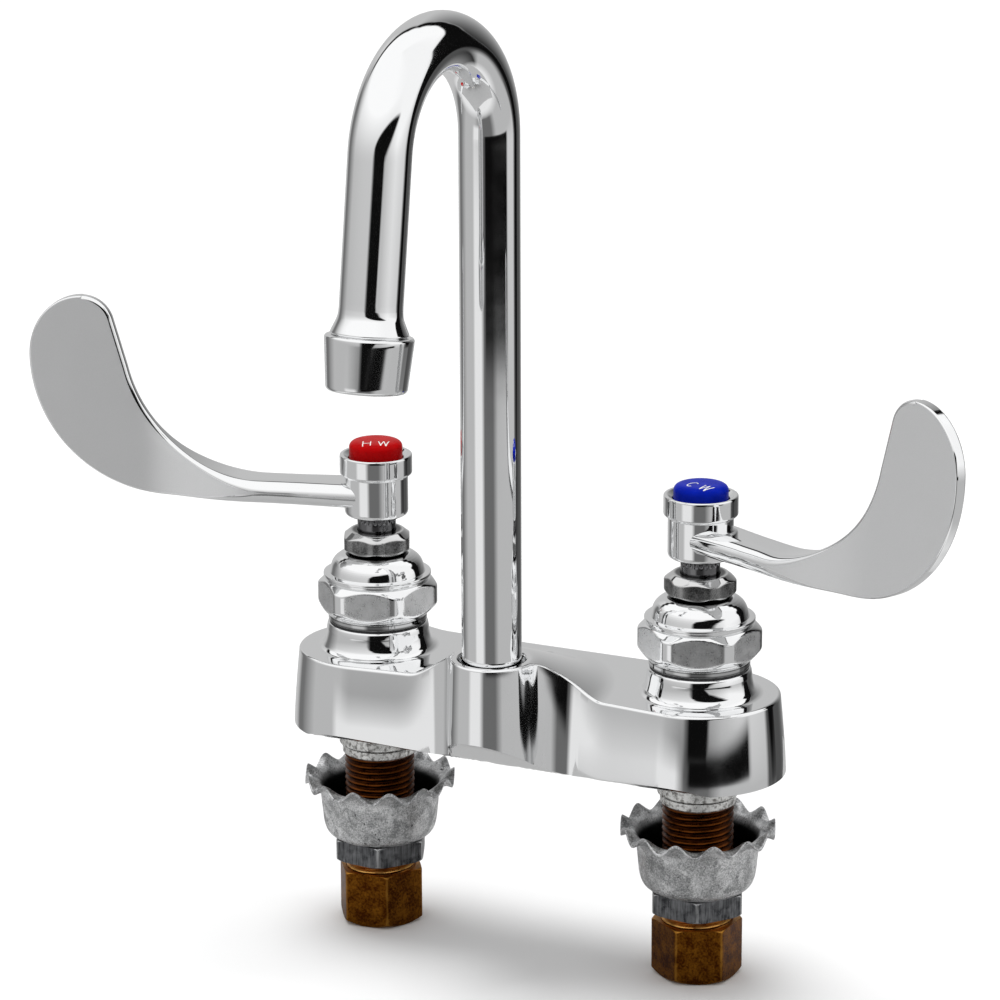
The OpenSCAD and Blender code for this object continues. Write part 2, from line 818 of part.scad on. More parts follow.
module splined_end(h) {
  step = 360 / splines;
  linear_extrude(height = h)
    polygon([
      for (i = [0 : splines - 1], k = [0 : 3])
        let (r = stem_r - (k < 2 ? spline_land : spline_depth), a = step * (i + [0, 0.4, 0.5, 0.9][k]))
          [r * cos(a), r * sin(a)]
    ]);
}

module stem(side) {
  spline_z = nut_top + 0.4;
  spline_len = hub_z + stem_in_handle - spline_z;
  color(SATIN)
    at_handle(side)
      difference() {
        union() {
          translate([0, 0, thrust_top - 1]) cylinder(h = spline_z - thrust_top + 1, r = stem_r);
          translate([0, 0, spline_z]) splined_end(spline_len);
          translate([0, 0, thrust_top - thrust_t]) cylinder(h = thrust_t, r = thrust_r);
          translate([0, 0, drive_z]) cylinder(h = drive_len + 0.5, r = drive_r);
        }
        translate([0, 0, recess_z - screw_len - 1]) cylinder(h = screw_len + 2, r = screw_r + seat_gap);
      }
}

module packing_nut(side) {
  color(STEEL)
    at_valve(side)
      difference() {
        union() {
          translate([0, 0, nut_z])
            rotate([0, 0, turn(side, hot_packing_turn, cold_packing_turn)])
              turned_hex(packing_af, packing_hex_h, packing_chamfer, packing_foot_chamfer);
          translate([0, 0, packing_top]) cylinder(h = packing_thread_len + 0.5, r = packing_thread_r);
        }
        translate([0, 0, packing_top - 1]) cylinder(h = nut_top - packing_top + 2, r = stem_r + nut_run);
      }
}

module packing_ring(side) {
  color(RUBBER)
    at_valve(side)
      translate([0, 0, packing_bottom]) ring(packing_thread_r, stem_r + run, packing_ring_h);
}

module packing_washer(side) {
  color(BRASS)
    at_valve(side)
      translate([0, 0, gland_floor]) ring(packing_thread_r, stem_r + run, packing_washer_t);
}

module bonnet(side) {
  dome_r = lip_r - 0.5;
  thread_foot = bonnet_foot + face_gap;
  color(CHROME)
    at_valve(side)
      difference() {
        union() {
          translate([0, 0, thread_foot])
            cylinder(h = skirt_z - thread_foot, r = bonnet_thread_r - seat_gap);
          translate([0, 0, skirt_z]) cylinder(h = bonnet_skirt_h, r = bonnet_skirt_r);
          translate([0, 0, hex_z])
            rotate([0, 0, turn(side, hot_bonnet_turn, cold_bonnet_turn)])
              turned_hex(bonnet_af, bonnet_hex_h, bonnet_chamfer, bonnet_chamfer);
          rotate_extrude()
            polygon(concat(
              [[0, lip_z - 0.5], [dome_r - 0.3, lip_z - 0.5], [dome_r - 0.3, lip_z + lip_h * 0.4],
               [lip_r, lip_z + lip_h * 0.5], [lip_r, lip_z + lip_h * 0.9]],
              [for (i = [0 : 8]) let (u = i / 8) [
                dome_r - (dome_r - dome_top_r) * pow(u, dome_curve),
                dome_z + dome_h * u
              ]],
              [[0, dome_top]]
            ));
        }
        translate([0, 0, thread_foot - 1]) cylinder(h = journal_z - thread_foot + 1, r = slide_r);
        translate([0, 0, journal_z - 1]) cylinder(h = gland_floor - journal_z + 2, r = stem_r + run);
        translate([0, 0, gland_floor]) cylinder(h = dome_top - gland_floor + 1, r = gland_r);
        translate([0, 0, thread_foot - 1])
          intersection() {
            cylinder(h = plunger_top + plunger_rise + 1 + overrun / 2 - thread_foot, r = key_slot_r);
            translate([-20, -key_w / 2 - face_gap, 0]) cube([40, key_w + 2 * face_gap, 40]);
          }
      }
}

module bonnet_washer(side) {
  color(RUBBER)
    at_valve(side)
      translate([0, 0, tower_top])
        ring(bonnet_skirt_r - 0.4, bonnet_thread_r + seat_gap, bonnet_washer_t);
}

// Piston that the stem's screw draws up without turning
module plunger(side) {
  key_foot = bonnet_foot + 2;
  color(BRASS)
    at_valve(side)
      difference() {
        union() {
          translate([0, 0, plunger_z]) cylinder(h = plunger_len, r = plunger_r);
          intersection() {
            translate([0, 0, key_foot]) cylinder(h = plunger_top - key_foot, r = plunger_r + key_d);
            translate([-20, -key_w / 2, key_foot]) cube([40, key_w, plunger_len]);
          }
        }
        translate([0, 0, plunger_bore_z]) cylinder(h = plunger_len, r = drive_r + face_gap);
        translate([0, 0, plunger_z - 1]) cylinder(h = seat_screw_len + 1, r = seat_screw_r + seat_gap);
      }
}

module seat_washer(side) {
  color(RUBBER)
    at_valve(side)
      translate([0, 0, washer_z]) ring(seat_washer_r, seat_screw_r + seat_gap, seat_washer_t);
}

module seat_screw(side) {
  color(BRASS)
    at_valve(side) {
      translate([0, 0, washer_z - seat_screw_head_h]) cylinder(h = seat_screw_head_h, r = seat_screw_head_r);
      translate([0, 0, washer_z]) cylinder(h = seat_washer_t + seat_screw_len - face_gap, r = seat_screw_r);
    }
}

module valve_seat(side) {
  crown_r = (seat_r + seat_hole_r) / 2 + 0.3;
  color(BRASS)
    at_valve(side)
      difference() {
        union() {
          translate([0, 0, floor_h - seat_len + face_gap]) cylinder(h = seat_len - face_gap, r = seat_r - seat_gap);
          translate([0, 0, floor_h - 0.5]) cylinder(h = seat_crown + 0.5, r = crown_r);
        }
        translate([0, 0, floor_h - seat_len]) cylinder(h = seat_len + seat_crown + 1, r = seat_hole_r);
      }
}

// Shank and mounting hardware

module shank(side) {
  ridges = floor((-collar_depth - shank_foot) / thread_pitch);
  color(BRASS)
    at_valve(side)
      difference() {
        union() {
          translate([0, 0, 0]) cylinder(h = spigot_len, r = spigot_r);
          translate([0, 0, -shoulder_h]) cylinder(h = shoulder_h + shoulder_seat, r = shoulder_r);
          translate([0, 0, -collar_depth]) cylinder(h = collar_depth, r = shoulder2_r);
          translate([0, 0, shank_foot]) cylinder(h = -shank_foot - 1, r = shank_r - thread_depth);
          rotate_extrude()
            polygon(concat(
              [[0, -collar_depth], [0, shank_foot]],
              [for (i = [0 : ridges - 1], k = [0 : 2])
                [shank_r - (k == 1 ? 0 : thread_depth),
                 shank_foot + thread_pitch * (i + [0.02, 0.5, 0.98][k])]]
            ));
        }
        translate([0, 0, shank_foot - 1]) cylinder(h = spigot_len - shank_foot + 2, r = shank_bore_r);
      }
}

// Sheet rim that flares outwards in waves, as one closed ring
module wavy_rim() {
  sheet = cup_wall * 0.7;
  around = waves * 8;
  root = cup_r - cup_wall / 2;
  spread = rim_r - root;
  line = [[0, -1, 0], [0, 0.3, 0], [0.22, 0.42, 0.25], [0.55, 0.66, 0.6], [1, 1, 1]];
  n = len(line);
  function mid(k, a) = [
    root + spread * line[k][0],
    wall_top + (k == 0 ? -1 : rim_rise * line[k][1]) + wave_h * line[k][2] * cos(waves * a)
  ];
  function side_step(k) = k < 2 ? [1, 0] : [0.45, -0.9];
  function point(i, j) =
    let (a = 360 * i / around, k = j < n ? j : 2 * n - 1 - j, s = (j < n ? 0.5 : -0.5) * sheet,
         m = mid(k, a) + s * side_step(k))
      [m[0] * cos(a), m[0] * sin(a), m[1]];
  polyhedron(
    points = [for (i = [0 : around - 1], j = [0 : 2 * n - 1]) point(i, j)],
    faces = [
      for (i = [0 : around - 1], j = [0 : 2 * n - 1], half = [0, 1])
        let (i2 = (i + 1) % around, j2 = (j + 1) % (2 * n), p = i * 2 * n, q = i2 * 2 * n)
          half == 0 ? [p + j, p + j2, q + j] : [p + j2, q + j2, q + j]
    ]
  );
}

module cup_washer(side) {
  hole_r = shank_r + 0.3;
  corner = cup_r - cup_foot_r;
  color(ZINC)
    at_valve(side) {
      rotate_extrude()
        polygon(concat(
          [[hole_r, -cup_drop], [cup_foot_r, -cup_drop]],
          arc(cup_foot_r, -cup_drop + corner * 1.4, corner * 0.9, corner * 1.4, 300, 345, 4),
          [[cup_r, wall_top], [cup_r - cup_wall, wall_top]],
          arc(cup_foot_r, -cup_drop + corner * 1.4, corner * 0.9 - cup_wall, corner * 1.4 - cup_wall, 345, 290, 4),
          [[hole_r, -cup_drop + cup_wall]]
        ));
      wavy_rim();
    }
}

module locknut(side) {
  color(STEEL)
    at_valve(side)
      rotate([0, 0, turn(side, hot_locknut_turn, cold_locknut_turn)])
        translate([0, 0, locknut_foot])
          difference() {
            turned_hex(locknut_af, locknut_h, 0.5, 0.8);
            translate([0, 0, -1]) cylinder(h = locknut_h + 2, r = shank_r + seat_gap);
          }
}

module coupling_nut(side) {
  color(DARK_BRASS)
    at_valve(side)
      rotate([0, 0, turn(side, hot_coupling_turn, cold_coupling_turn)])
        translate([0, 0, coupling_foot])
          difference() {
            turned_hex(coupling_af, coupling_h, 0.8, 1.8);
            translate([0, 0, coupling_floor]) cylinder(h = coupling_h, r = shank_r + seat_gap);
            translate([0, 0, -1]) cylinder(h = coupling_h, r = riser_r);
          }
}

module riser_washer(side) {
  color(RUBBER)
    at_valve(side)
      translate([0, 0, riser_z]) ring(shank_r - seat_gap, riser_r + 2 * face_gap, riser_washer_t);
}

deck_body();
gooseneck_tube();
swivel_sleeve();
spout_orings();
spout_snap_ring();
aerator_housing();
aerator_washer();
aerator_insert();
aerator_screen();
index_button(HOT);  // hot_index_button
handle(HOT);  // hot_handle
handle_screw(HOT);  // hot_handle_screw
stem(HOT);  // hot_stem
packing_nut(HOT);  // hot_packing_nut
packing_ring(HOT);  // hot_packing_ring
packing_washer(HOT);  // hot_packing_washer
bonnet(HOT);  // hot_bonnet
bonnet_washer(HOT);  // hot_bonnet_washer
plunger(HOT);  // hot_plunger
seat_washer(HOT);  // hot_seat_washer
seat_screw(HOT);  // hot_seat_screw
valve_seat(HOT);  // hot_valve_seat
shank(HOT);  // hot_shank
cup_washer(HOT);  // hot_cup_washer
locknut(HOT);  // hot_locknut
coupling_nut(HOT);  // hot_coupling_nut
riser_washer(HOT);  // hot_riser_washer
index_button(COLD);  // cold_index_button
handle(COLD);  // cold_handle
handle_screw(COLD);  // cold_handle_screw
stem(COLD);  // cold_stem
packing_nut(COLD);  // cold_packing_nut
packing_ring(COLD);  // cold_packing_ring
packing_washer(COLD);  // cold_packing_washer
bonnet(COLD);  // cold_bonnet
bonnet_washer(COLD);  // cold_bonnet_washer
plunger(COLD);  // cold_plunger
seat_washer(COLD);  // cold_seat_washer
seat_screw(COLD);  // cold_seat_screw
valve_seat(COLD);  // cold_valve_seat
shank(COLD);  // cold_shank
cup_washer(COLD);  // cold_cup_washer
locknut(COLD);  // cold_locknut
coupling_nut(COLD);  // cold_coupling_nut
riser_washer(COLD);  // cold_riser_washer
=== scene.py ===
"""Looks of a deck faucet with a swivel gooseneck spout and two wrist-blade handles.

Every visible casting, tube, nut and washer is a surface worked out with numpy, in millimetres, in the
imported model's frame: X from the hot valve to the cold valve, -Y towards the user, +Z up.
"""

import logging
from collections.abc import Callable
from dataclasses import dataclass, field
from enum import Enum
from math import pi, radians, tau

import bmesh
import bpy
import numpy as np
from mathutils import Matrix, Vector


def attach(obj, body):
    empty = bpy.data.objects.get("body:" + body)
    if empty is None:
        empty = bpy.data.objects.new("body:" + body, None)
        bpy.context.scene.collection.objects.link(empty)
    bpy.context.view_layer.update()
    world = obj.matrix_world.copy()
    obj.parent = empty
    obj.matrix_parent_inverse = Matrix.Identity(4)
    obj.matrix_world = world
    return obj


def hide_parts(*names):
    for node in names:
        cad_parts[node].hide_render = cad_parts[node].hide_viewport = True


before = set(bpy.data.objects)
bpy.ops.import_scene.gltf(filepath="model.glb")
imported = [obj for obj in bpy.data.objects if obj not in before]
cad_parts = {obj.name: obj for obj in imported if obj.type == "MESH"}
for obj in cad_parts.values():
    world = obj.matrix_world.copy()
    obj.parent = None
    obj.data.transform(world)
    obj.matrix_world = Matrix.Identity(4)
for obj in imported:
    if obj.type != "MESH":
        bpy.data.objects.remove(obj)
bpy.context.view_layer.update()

# Metres in a millimetre.
MM = 0.001
LOG = logging.getLogger("faucet")

# Distance of each valve's axis from the middle, in millimetres: half of 4 inches.
VALVE_X = 50.8
# Angles in degrees beyond which an edge is shaded sharp, on turned and bent pieces and on the casting.
TURNED_SHARP = 50.0
CAST_SHARP = 40.0

# A form changes a profile's (along, radius) by the angle theta; a mark gives values for the finish there.
Array = np.ndarray
Triple = tuple[float, float, float]
Colour = Triple
Corners = list[Triple]
Form = Callable[[Array, Array, Array], tuple[Array, Array]]
Mark = Callable[[Array, Array, Array], Array]
Socket = bpy.types.NodeSocket
Material = bpy.types.Material


class Side(Enum):
    """The two valves, with the sign of their place along X."""

    HOT = -1
    COLD = 1

    def node(self, piece: str) -> str:
        """Name of this side's CAD node of a piece."""
        return f"{self.name.lower()}_{piece}"

    def pick(self, hot: float, cold: float) -> float:
        """The value that belongs to this side."""
        return hot if self is Side.HOT else cold


# Curves and surfaces


def smooth(value: Array, start: float, end: float) -> Array:
    """Smooth step: 3t^2 - 2t^3 of how far value has come from start to end."""
    t = np.clip((value - start) / (end - start), 0.0, 1.0)
    return t * t * (3.0 - 2.0 * t)


def rounded(corners: Corners, steps: int = 4, closed: bool = True) -> Array:
    """Rounds the corners of an outline.

    A corner P gives way to the curve (1-t)^2 A + 2t(1-t) P + t^2 B, where A and B lie on the two
    sides, as far from P as the corner's rounding says.

    Args:
        corners: (along, radius, rounding) of each corner.
        steps: Pieces of each rounding.
        closed: Whether the last corner is joined to the first.

    Returns:
        Points (n, 2).
    """
    table = np.array(corners, float)
    point = table[:, :2]
    least_length = 1e-9
    most_share = 0.45

    def toward(other: Array) -> Array:
        """Where the rounding starts on the way to a neighbour.

        Args:
            other: The neighbour of each corner.

        Returns:
            A point for each corner, at most 0.45 of the way along.
        """
        way = other - point
        length = np.maximum(np.linalg.norm(way, axis=1, keepdims=True), least_length)
        return point + way / length * np.minimum(table[:, 2:], most_share * length)

    start = toward(np.roll(point, 1, axis=0))
    end = toward(np.roll(point, -1, axis=0))
    if not closed:
        start[0] = end[0] = point[0]
        start[-1] = end[-1] = point[-1]
    t = np.linspace(0.0, 1.0, steps + 1)[None, :, None]
    curve = (1 - t) ** 2 * start[:, None] + 2 * t * (1 - t) * point[:, None] + t**2 * end[:, None]
    return curve.reshape(-1, 2)


def lengths(line: Array) -> Array:
    """Length along a line at each of its points."""
    return np.concatenate([[0.0], np.cumsum(np.linalg.norm(np.diff(line, axis=0), axis=1))])


def points_at(line: Array, at: Array) -> Array:
    """Points (k, 2) of a line, at the given lengths along it."""
    return np.stack([np.interp(at, lengths(line), line[:, k]) for k in range(2)], axis=1)


def spread(line: Array, count: int) -> Array:
    """As many points of a line as told, at even steps of its length."""
    return points_at(line, np.linspace(0.0, lengths(line)[-1], count))


def refined(outline: Array, step: float, closed: bool = True) -> Array:
    """Adds points to an outline so that none lie further apart than step.

    Args:
        outline: Points (n, 2).
        step: Greatest distance in millimetres.
        closed: Whether the last point is joined to the first.

    Returns:
        Points (k, 2), the given ones among them.
    """
    line = np.vstack([outline, outline[:1]]) if closed else outline
    length = lengths(line)
    at = np.unique(np.round(np.concatenate([length, np.arange(0.0, length[-1], step)]), 4))
    return points_at(line, at[:-1] if closed else at)


@dataclass
class Shell:
    """A surface as a grid of points (n, m, 3) in millimetres, with values for its finish.

    Attributes:
        points: The grid.
        wrap: Whether the first and the last direction close on themselves.
        marks: Values (n, m) that the materials read, by name.
        finish: Index of the material, one for the grid or one for each column of quads.
    """

    points: Array
    wrap: tuple[bool, bool] = (True, True)
    marks: dict[str, Array] = field(default_factory=dict)
    finish: Array | int = 0

    def quads(self) -> Array:
        """Numbers the corners of the grid's faces.

        Returns:
            Point numbers (k, 4).
        """
        rows, columns = self.points.shape[:2]
        number = np.arange(rows * columns).reshape(rows, columns)
        number = np.vstack([number, number[:1]]) if self.wrap[0] else number
        number = np.hstack([number, number[:, :1]]) if self.wrap[1] else number
        corners = [number[:-1, :-1], number[1:, :-1], number[1:, 1:], number[:-1, 1:]]
        return np.stack(corners, axis=-1).reshape(-1, 4)

    def slots(self) -> Array:
        """Material index of each face.

        Returns:
            Indices (k,), in the order of the faces.
        """
        rows = self.points.shape[0] - (0 if self.wrap[0] else 1)
        columns = self.points.shape[1] - (0 if self.wrap[1] else 1)
        return np.broadcast_to(np.asarray(self.finish), (rows, columns)).reshape(-1)


@dataclass(frozen=True)
class Upright:
    """A straight vertical axis, along which a profile's first number is the height."""

    x: float
    y: float

    def at(self, along: Array) -> tuple[Array, Array, Array]:
        """Centre and the two cross axes at each height."""
        centre = np.stack([np.full_like(along, self.x), np.full_like(along, self.y), along], axis=-1)
        return centre, np.array([1.0, 0.0, 0.0]), np.array([0.0, 1.0, 0.0])


@dataclass(frozen=True)
class Level:
    """A straight level axis through a point, in a direction given by its angle."""

    x: float
    y: float
    z: float
    heading: float

    def at(self, along: Array) -> tuple[Array, Array, Array]:
        """Centre and the two cross axes at each place along the axis.

        Args:
            along: Distances from the axis's point.

        Returns:
            Centres, the level cross axis and the upright one.
        """
        way = np.array([np.cos(self.heading), np.sin(self.heading), 0.0])
        side = np.array([-np.sin(self.heading), np.cos(self.heading), 0.0])
        centre = np.array([self.x, self.y, self.z]) + along[..., None] * way
        return centre, side, np.array([0.0, 0.0, 1.0])


@dataclass(frozen=True)
class Neck:
    """The gooseneck's middle line: an upright leg, a round bend and a leaning front leg.

    Up to the bend, the length along it is the height above the deck.
    """

    y: float = -28.6
    bend_z: float = 182.7
    bend_r: float = 28.6
    lean: float = radians(7.7)
    turn: float = radians(3.6)

    def leg_start(self) -> float:
        """Length along the line at which the front leg starts."""
        return self.bend_z + self.bend_r * (pi - self.lean)

    def at(self, along: Array) -> tuple[Array, Array, Array]:
        """Centre and cross axes at each length along the line.

        The bend's angle is (along - bend_z) / bend_r, kept within the bend.

        Args:
            along: Lengths along the line.

        Returns:
            Centres, the cross axis in the bend's plane and the one square to it.
        """
        forward = np.array([-np.sin(self.turn), -np.cos(self.turn), 0.0])
        up = np.array([0.0, 0.0, 1.0])
        angle = np.clip((along - self.bend_z) / self.bend_r, 0.0, pi - self.lean)[..., None]
        foot = np.array([0.0, self.y, 0.0]) + np.minimum(along, self.bend_z)[..., None] * up
        bend = self.bend_r * ((1.0 - np.cos(angle)) * forward + np.sin(angle) * up)
        past = np.maximum(along - self.leg_start(), 0.0)[..., None]
        tangent = np.sin(angle) * forward + np.cos(angle) * up
        across = np.cos(angle) * forward - np.sin(angle) * up
        return foot + bend + past * tangent, across, np.cross(up, forward)


def turned(
    profile: Array,
    path: Upright | Level | Neck,
    around: int = 96,
    forms: tuple[Form, ...] = (),
    marks: dict[str, Mark] | None = None,
    closed: bool = True,
    finish: int = 0,
) -> Shell:
    """Carries a profile round a path: centre(along) + radius (cos(theta) X + sin(theta) Y).

    Args:
        profile: Points (along, radius).
        path: The line that the profile goes round.
        around: Points in a ring.
        forms: Functions that change along and radius by theta, such as a hexagon or a thread.
        marks: Functions that give each point's values for the finish.
        closed: Whether the profile closes on itself; if not, its ends lie on the path.
        finish: Index of the material.

    Returns:
        The surface.
    """
    theta = np.linspace(0.0, tau, around, endpoint=False)[:, None]
    first, second = profile[None, :, 0], profile[None, :, 1]
    along, radius = first, second
    for form in forms:
        along, radius = form(theta, along, radius)
    along, radius, theta_all = np.broadcast_arrays(along, radius, theta)
    centre, x_axis, y_axis = path.at(along)
    ring = np.cos(theta_all)[..., None] * x_axis + np.sin(theta_all)[..., None] * y_axis
    values = {name: mark(theta, first, second) for name, mark in (marks or {}).items()}
    values = {name: np.broadcast_to(value, radius.shape) for name, value in values.items()}
    return Shell(centre + radius[..., None] * ring, (True, closed), values, finish)


@dataclass(frozen=True)
class Hexagon:
    """Six flats on a turned piece, between two heights."""

    across: float
    turn: float
    low: float
    high: float
    sharpness: float = 70.0

    def radius(self, theta: Array) -> Array:
        """Soft hexagon: half the width over the p-norm of the cosines to its three flat directions.

        Args:
            theta: Angles (n, 1).

        Returns:
            Radius at each angle.
        """
        flats = theta[..., None] - radians(self.turn + 30.0) - np.arange(3) * pi / 3
        norm = np.sum(np.abs(np.cos(flats)) ** self.sharpness, axis=-1) ** (1.0 / self.sharpness)
        return self.across / 2 / norm

    def form(self, theta: Array, along: Array, radius: Array) -> tuple[Array, Array]:
        """Softly takes the smaller of the profile's radius and the hexagon's.

        With p as the sharpness, the result is the sum of both radii to the power -p, to the power -1/p.

        Args:
            theta: Angles (n, 1).
            along: Heights of the profile.
            radius: Radii of the profile.

        Returns:
            Heights and radii.
        """
        inside = (along > self.low - 0.05) & (along < self.high + 0.05)
        flat = self.radius(theta)
        base = np.maximum(radius, 1e-3)
        least = (base**-self.sharpness + flat**-self.sharpness) ** (-1.0 / self.sharpness)
        return along, np.where(inside & (radius > self.across * 0.4), least, radius)

    def flats(self, theta: Array, along: Array, radius: Array) -> Array:
        """1 on the six flats, falling to 0 at their corners and chamfers."""
        inside = (along > self.low) & (along < self.high)
        return np.where(inside, smooth(radius - self.radius(theta), 0.05, 0.55), 0.0)


@dataclass(frozen=True)
class Thread:
    """A helical thread on a turned piece, between two heights."""

    low: float
    high: float
    least_radius: float
    pitch: float = 1.81
    depth: float = 0.85
    fade: float = 1.2

    def ridge(self, theta: Array, along: Array, radius: Array) -> Array:
        """Height of the thread from 0 to 1: a rounded triangle wave of along / pitch - theta / turn."""
        phase = (along / self.pitch - theta / tau) % 1.0
        return 0.5 - 0.5 * np.cos(tau * phase)

    def form(self, theta: Array, along: Array, radius: Array) -> tuple[Array, Array]:
        """Sinks the surface between the ridges by the depth, fading out at both ends.

        Args:
            theta: Angles (n, 1).
            along: Heights of the profile.
            radius: Radii of the profile.

        Returns:
            Heights and radii.
        """
        start = smooth(along, self.low, self.low + self.fade)
        run = start * (1.0 - smooth(along, self.high - self.fade, self.high))
        cut = self.depth * (1.0 - self.ridge(theta, along, radius)) * run
        return along, np.where(radius > self.least_radius, radius - cut, radius)


# Finishes


class Nodes:
    """Shader nodes under construction."""

    def __init__(self, tree: bpy.types.NodeTree) -> None:
        """Takes the tree that the nodes are added to."""
        self.tree = tree

    def add(
        self, kind: str, inputs: dict[str | int, object] | None = None, **settings: object
    ) -> bpy.types.Node:
        """Adds a node, sets its properties and sets or links its inputs.

        Args:
            kind: Blender's name of the node's type.
            inputs: Value or socket for each input, by its name or number.
            **settings: Properties of the node.

        Returns:
            The node.
        """
        node = self.tree.nodes.new(kind)
        for key, value in settings.items():
            setattr(node, key, value)
        for key, value in (inputs or {}).items():
            self.put(node, key, value)
        return node

    def put(self, node: bpy.types.Node, key: str | int, value: object) -> None:
        """Links a socket to an input, or sets the input to a value.

        Args:
            node: The node.
            key: Name or number of its input.
            value: A socket or a value.
        """
        if isinstance(value, bpy.types.NodeSocket):
            self.tree.links.new(value, node.inputs[key])
        else:
            node.inputs[key].default_value = value

    def place(self, stretch: Triple = (1.0, 1.0, 1.0)) -> Socket:
        """Object coordinates, stretched."""
        coordinate = self.add("ShaderNodeTexCoord").outputs["Object"]
        return self.add("ShaderNodeMapping", {"Vector": coordinate, "Scale": stretch}).outputs[0]

    def noise(
        self, size: float, detail: float = 2.0, stretch: Triple = (1.0, 1.0, 1.0), warp: float = 0.0
    ) -> Socket:
        """Noise between 0 and 1.

        Args:
            size: About how many millimetres wide its blotches are.
            detail: How many finer noises are added.
            stretch: Factors on the coordinates; a small one draws the blotches out along its axis.
            warp: How far it is distorted.

        Returns:
            The noise.
        """
        inputs = {"Vector": self.place(stretch), "Scale": 1.0 / (size * MM)}
        inputs |= {"Detail": detail, "Distortion": warp}
        return self.add("ShaderNodeTexNoise", inputs).outputs["Fac"]

    def mark(self, name: str) -> Socket:
        """A value stored on the piece's points."""
        return self.add("ShaderNodeAttribute", attribute_name=name).outputs["Fac"]

    def span(
        self, value: Socket, low: float, high: float, to_low: float = 0.0, to_high: float = 1.0
    ) -> Socket:
        """Maps low..high to to_low..to_high, clamped."""
        inputs = {"Value": value, "From Min": low, "From Max": high, "To Min": to_low, "To Max": to_high}
        return self.add("ShaderNodeMapRange", inputs).outputs[0]

    def sum(self, first: Socket | float, second: Socket | float, operation: str = "ADD") -> Socket:
        """Arithmetic on two values."""
        return self.add("ShaderNodeMath", {0: first, 1: second}, operation=operation).outputs[0]

    def mix(self, factor: Socket | float, first: object, second: object) -> Socket:
        """Mixes two colours."""
        inputs = {0: factor, 6: self.colour(first), 7: self.colour(second)}
        return self.add("ShaderNodeMix", inputs, data_type="RGBA").outputs[2]

    @staticmethod
    def colour(value: object) -> object:
        """A colour with its alpha, or a socket as it is."""
        return value if isinstance(value, bpy.types.NodeSocket) else (*value, 1.0)

    def bump(self, height: Socket, depth: float, below: Socket | None = None) -> Socket:
        """Bumps by a height from 0 to 1.

        Args:
            height: The height.
            depth: About how many millimetres 1 stands for.
            below: Normal of other bumps that these lie on.

        Returns:
            The normal.
        """
        inputs = {"Height": height, "Strength": 1.0, "Distance": depth * MM}
        node = self.add("ShaderNodeBump", inputs)
        if below is not None:
            self.put(node, "Normal", below)
        return node.outputs[0]


class Graph(Nodes):
    """A material under construction, with its Principled shader."""

    def __init__(self, name: str) -> None:
        """Starts a node material.

        Args:
            name: Name of the material.
        """
        self.material = bpy.data.materials.new(name)
        self.material.use_nodes = True
        super().__init__(self.material.node_tree)
        self.shader = self.tree.nodes["Principled BSDF"]

    def dress(self, **values: object) -> None:
        """Sets or links the shader's inputs; an underscore in a name stands for a space."""
        for key, value in values.items():
            self.put(self.shader, key.replace("_", " "), value)


@dataclass(frozen=True)
class PolishedPlate:
    """Bright chrome on a polished casting or tube, with a faint waviness."""

    name: str = "polished_plate"
    colour: Colour = (0.90, 0.905, 0.91)
    least: float = 0.03
    most: float = 0.075
    ripple: float = 0.010

    def material(self) -> Material:
        """Plate whose roughness and normal vary a little over the piece.

        Returns:
            The material.
        """
        graph = Graph(self.name)
        wipe = graph.noise(14.0, 3.0)
        wave = graph.bump(graph.noise(16.0, 1.0), self.ripple)
        graph.dress(Base_Color=(*self.colour, 1.0), Metallic=1.0, Normal=wave)
        graph.dress(Roughness=graph.span(wipe, 0.35, 0.7, self.least, self.most))
        return graph.material


@dataclass(frozen=True)
class SatinPlate:
    """Chrome over a fine-ground face: even grey with a very fine grain."""

    name: str = "satin_plate"
    dark: Colour = (0.93, 0.935, 0.94)
    light: Colour = (0.975, 0.98, 0.985)
    roughness: float = 0.46
    grain: float = 0.22

    def material(self) -> Material:
        """Plate whose tone and bumps follow a very fine grain.

        Returns:
            The material.
        """
        graph = Graph(self.name)
        cloud = graph.noise(6.0, 3.0)
        grain = graph.noise(self.grain, 2.0)
        graph.dress(Base_Color=graph.mix(graph.span(grain, 0.3, 0.7), self.dark, self.light), Metallic=1.0)
        graph.dress(Roughness=graph.span(cloud, 0.3, 0.7, self.roughness - 0.015, self.roughness + 0.015))
        graph.dress(Normal=graph.bump(grain, 0.010))
        return graph.material


@dataclass(frozen=True)
class GroundHexagon:
    """Plate on a wrought hexagon: grainy flats between polished corners and chamfers."""

    name: str = "ground_hexagon"
    bright: Colour = (0.90, 0.905, 0.91)
    flat: Colour = (0.96, 0.965, 0.97)
    dull: Colour = (0.85, 0.855, 0.86)
    # Near-black painted shade, laid where a piece marks gaps and recesses.
    grime: Colour = (0.006, 0.006, 0.006)

    def material(self) -> Material:
        """Mixes the polished colour and the grainy flat's by the mark of the flats, and painted shade over
        both.

        Returns:
            The material.
        """
        graph = Graph(self.name)
        flats = graph.mark("flats")
        grain = graph.noise(0.4, 3.0)
        cloud = graph.noise(3.0, 4.0)
        tone = graph.mix(graph.span(graph.sum(grain, cloud), 0.8, 1.2), self.dull, self.flat)
        rough = graph.span(graph.sum(grain, cloud), 0.7, 1.3, 0.20, 0.34)
        shine = graph.sum(graph.sum(rough, flats, "MULTIPLY"), 0.05)
        skin = graph.mix(graph.mark("grime"), graph.mix(flats, self.bright, tone), self.grime)
        graph.dress(Base_Color=skin, Metallic=1.0, Roughness=shine)
        graph.dress(Normal=graph.bump(graph.sum(grain, flats, "MULTIPLY"), 0.045))
        return graph.material


